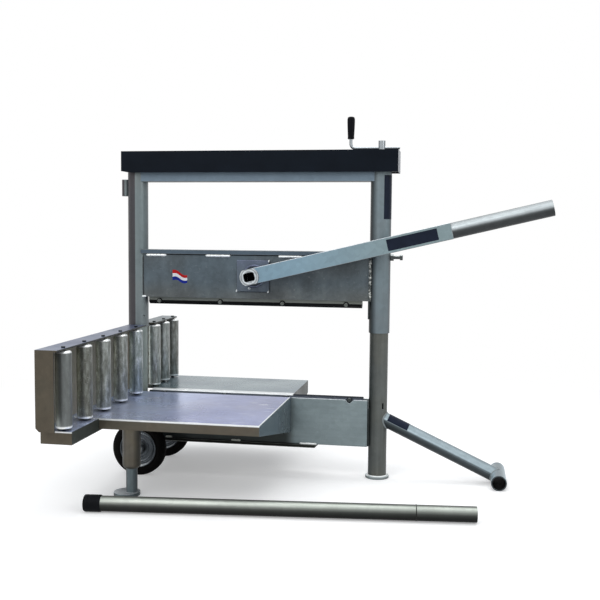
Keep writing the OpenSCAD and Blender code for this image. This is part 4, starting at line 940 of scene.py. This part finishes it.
sleeveFilm = {"r": 30.2, "low": 760, "high": 886, "turn": (-68, 40)}
wrapFilm("sleeveFilm", sleeveFilm["r"], sleeveFilm["low"], sleeveFilm["high"], *sleeveFilm["turn"],
         Matrix.Identity(4), "darkFilm", "portal")
braceFrame = Matrix(((0, ux, -dx, 0), (-1, 0, 0, 0), (0, uz, -dz, topZ * mm), (0, 0, 0, 1)))
wrapFilm("braceFilm", braceSet["r"], -braceSet["film"][1], -braceSet["film"][0], *braceSet["filmTurn"],
         braceFrame, "darkFilm", "base")

bm = bmesh.new()
(filmA, filmB), (filmLow, filmHigh) = leverSet["film"], leverSet["filmHigh"]
bmesh.ops.create_cube(bm, size=1.0)
bmesh.ops.scale(bm, vec=((filmB - filmA) * mm, filmSet["flat"] * mm, (filmHigh - filmLow) * mm),
                verts=bm.verts)
corners = [e for e in bm.edges if abs(e.verts[0].co.y - e.verts[1].co.y) > filmSet["flat"] / 2 * mm]
bmesh.ops.bevel(bm, geom=corners, offset=filmSet["corner"] * mm, segments=3, affect="EDGES", profile=0.5,
                material=-1)
leverFrame = shift(leverSet["x"], 0, leverSet["z"]) @ Matrix.Rotation(-tilt, 4, "Y")
filmPlace = shift((filmA + filmB) / 2, leverSet["face"] - filmSet["over"], (filmLow + filmHigh) / 2)
bmesh.ops.transform(bm, matrix=leverFrame @ filmPlace, verts=bm.verts)
place("leverFilm", meshFrom(bm, "leverFilm", False), "darkFilm", "lever")

stickerSet = {"left": -623, "wide": 46, "top": 604, "fall": 15, "wave": 3.5, "high": 31, "shrink": 8,
              "y": -20.3, "thick": 0.2, "columns": 18}
bm = bmesh.new()
bmesh.ops.create_grid(bm, x_segments=stickerSet["columns"], y_segments=3, size=0.5)
for face in bm.faces:
    face.material_index = min(2, int((0.5 - face.calc_center_median().y) * 3))
for vert in bm.verts:
    u, v = vert.co.x + 0.5, vert.co.y + 0.5
    top = stickerSet["top"] - stickerSet["fall"] * u + stickerSet["wave"] * math.sin(2 * math.pi * u)
    vert.co = ((stickerSet["left"] + stickerSet["wide"] * u) * mm, stickerSet["y"] * mm,
               (top - (1 - v) * (stickerSet["high"] - stickerSet["shrink"] * u)) * mm)
bm.normal_update()
bmesh.ops.solidify(bm, geom=bm.faces[:], thickness=stickerSet["thick"] * mm)
bmesh.ops.recalc_face_normals(bm, faces=bm.faces)
place("stripeSticker", meshFrom(bm, "stripeSticker", False), ["stripeRed", "stripeWhite", "stripeBlue"],
      "portal")
print("films laid")


# floor, world and light
def seenRay(tree):  # 1 for what the camera sees, also by way of a mirror or glass
    path = step(tree, "ShaderNodeLightPath").outputs
    direct = calc(tree, "ADD", path["Is Camera Ray"], path["Is Glossy Ray"])
    return calc(tree, "MINIMUM", calc(tree, "ADD", direct, path["Is Transmission Ray"]), 1.0)


floorSet = {"size": 9.0, "tone": 0.80, "glow": 0.30, "near": 0.9, "far": 2.1, "middle": (0.2, 0.0, 0.0),
            "grain": 60.0}
bm = bmesh.new()
bmesh.ops.create_grid(bm, x_segments=1, y_segments=1, size=floorSet["size"] / 2)
floorMesh = meshFrom(bm, "floor", False)
floor = bpy.data.objects.new("floor", floorMesh)
scene.collection.objects.link(floor)
floorSkin = bpy.data.materials.new("floorWhite")
floorSkin.use_nodes = True
tree = floorSkin.node_tree
tree.nodes.clear()
at = objectAt(tree)
grain = sway(tree, noise(tree, at, floorSet["grain"], 3.0), 0.985, 1.015)
matt = step(tree, "ShaderNodeBsdfDiffuse", {"Color": dim(tree, (floorSet["tone"],) * 3, grain)})
seen = seenRay(tree)
glow = step(tree, "ShaderNodeEmission", {"Strength": calc(tree, "MULTIPLY", seen, floorSet["glow"])})
both = step(tree, "ShaderNodeAddShader", {0: matt.outputs[0], 1: glow.outputs[0]})
white = step(tree, "ShaderNodeEmission", {"Strength": seen})
middle = step(tree, "ShaderNodeVectorMath", {0: at, 1: floorSet["middle"]}, operation="ADD").outputs[0]
away = step(tree, "ShaderNodeVectorMath", {0: middle}, operation="LENGTH").outputs["Value"]
fade = span(tree, away, floorSet["near"], floorSet["far"], 0.0, 1.0, True)
join = step(tree, "ShaderNodeMixShader", {0: fade, 1: both.outputs[0], 2: white.outputs[0]})
tree.links.new(join.outputs[0], step(tree, "ShaderNodeOutputMaterial").inputs["Surface"])
floorMesh.materials.append(floorSkin)

worldSet = {"tone": (0.93, 0.96, 1.0, 1.0), "fill": 0.55}
world = bpy.data.worlds.new("studio")
world.use_nodes = True
scene.world = world
tree = world.node_tree
back = tree.nodes["Background"]
seen = seenRay(tree)
tree.links.new(mixTone(tree, seen, worldSet["tone"], (1.0, 1.0, 1.0, 1.0)), back.inputs["Color"])
tree.links.new(span(tree, seen, 0.0, 1.0, worldSet["fill"], 1.0), back.inputs["Strength"])

lampAim = (-0.3, 0.0, 0.45)
lampSet = {"key": ((-1.6, -2.6, 3.0), 2.4, 62.0), "top": ((0.2, 0.4, 3.4), 2.6, 55.0),
           "side": ((2.8, -1.6, 1.9), 1.8, 22.0)}
for name, (spot, size, power) in lampSet.items():
    lamp = bpy.data.lights.new(name + "Lamp", "AREA")
    lamp.shape = "SQUARE"
    lamp.size = size
    lamp.energy = power
    lampObj = bpy.data.objects.new(name + "Lamp", lamp)
    scene.collection.objects.link(lampObj)
    aim = Vector(lampAim) - Vector(spot)
    lampObj.matrix_world = Matrix.Translation(spot) @ aim.to_track_quat("-Z", "Y").to_matrix().to_4x4()
print("light set")
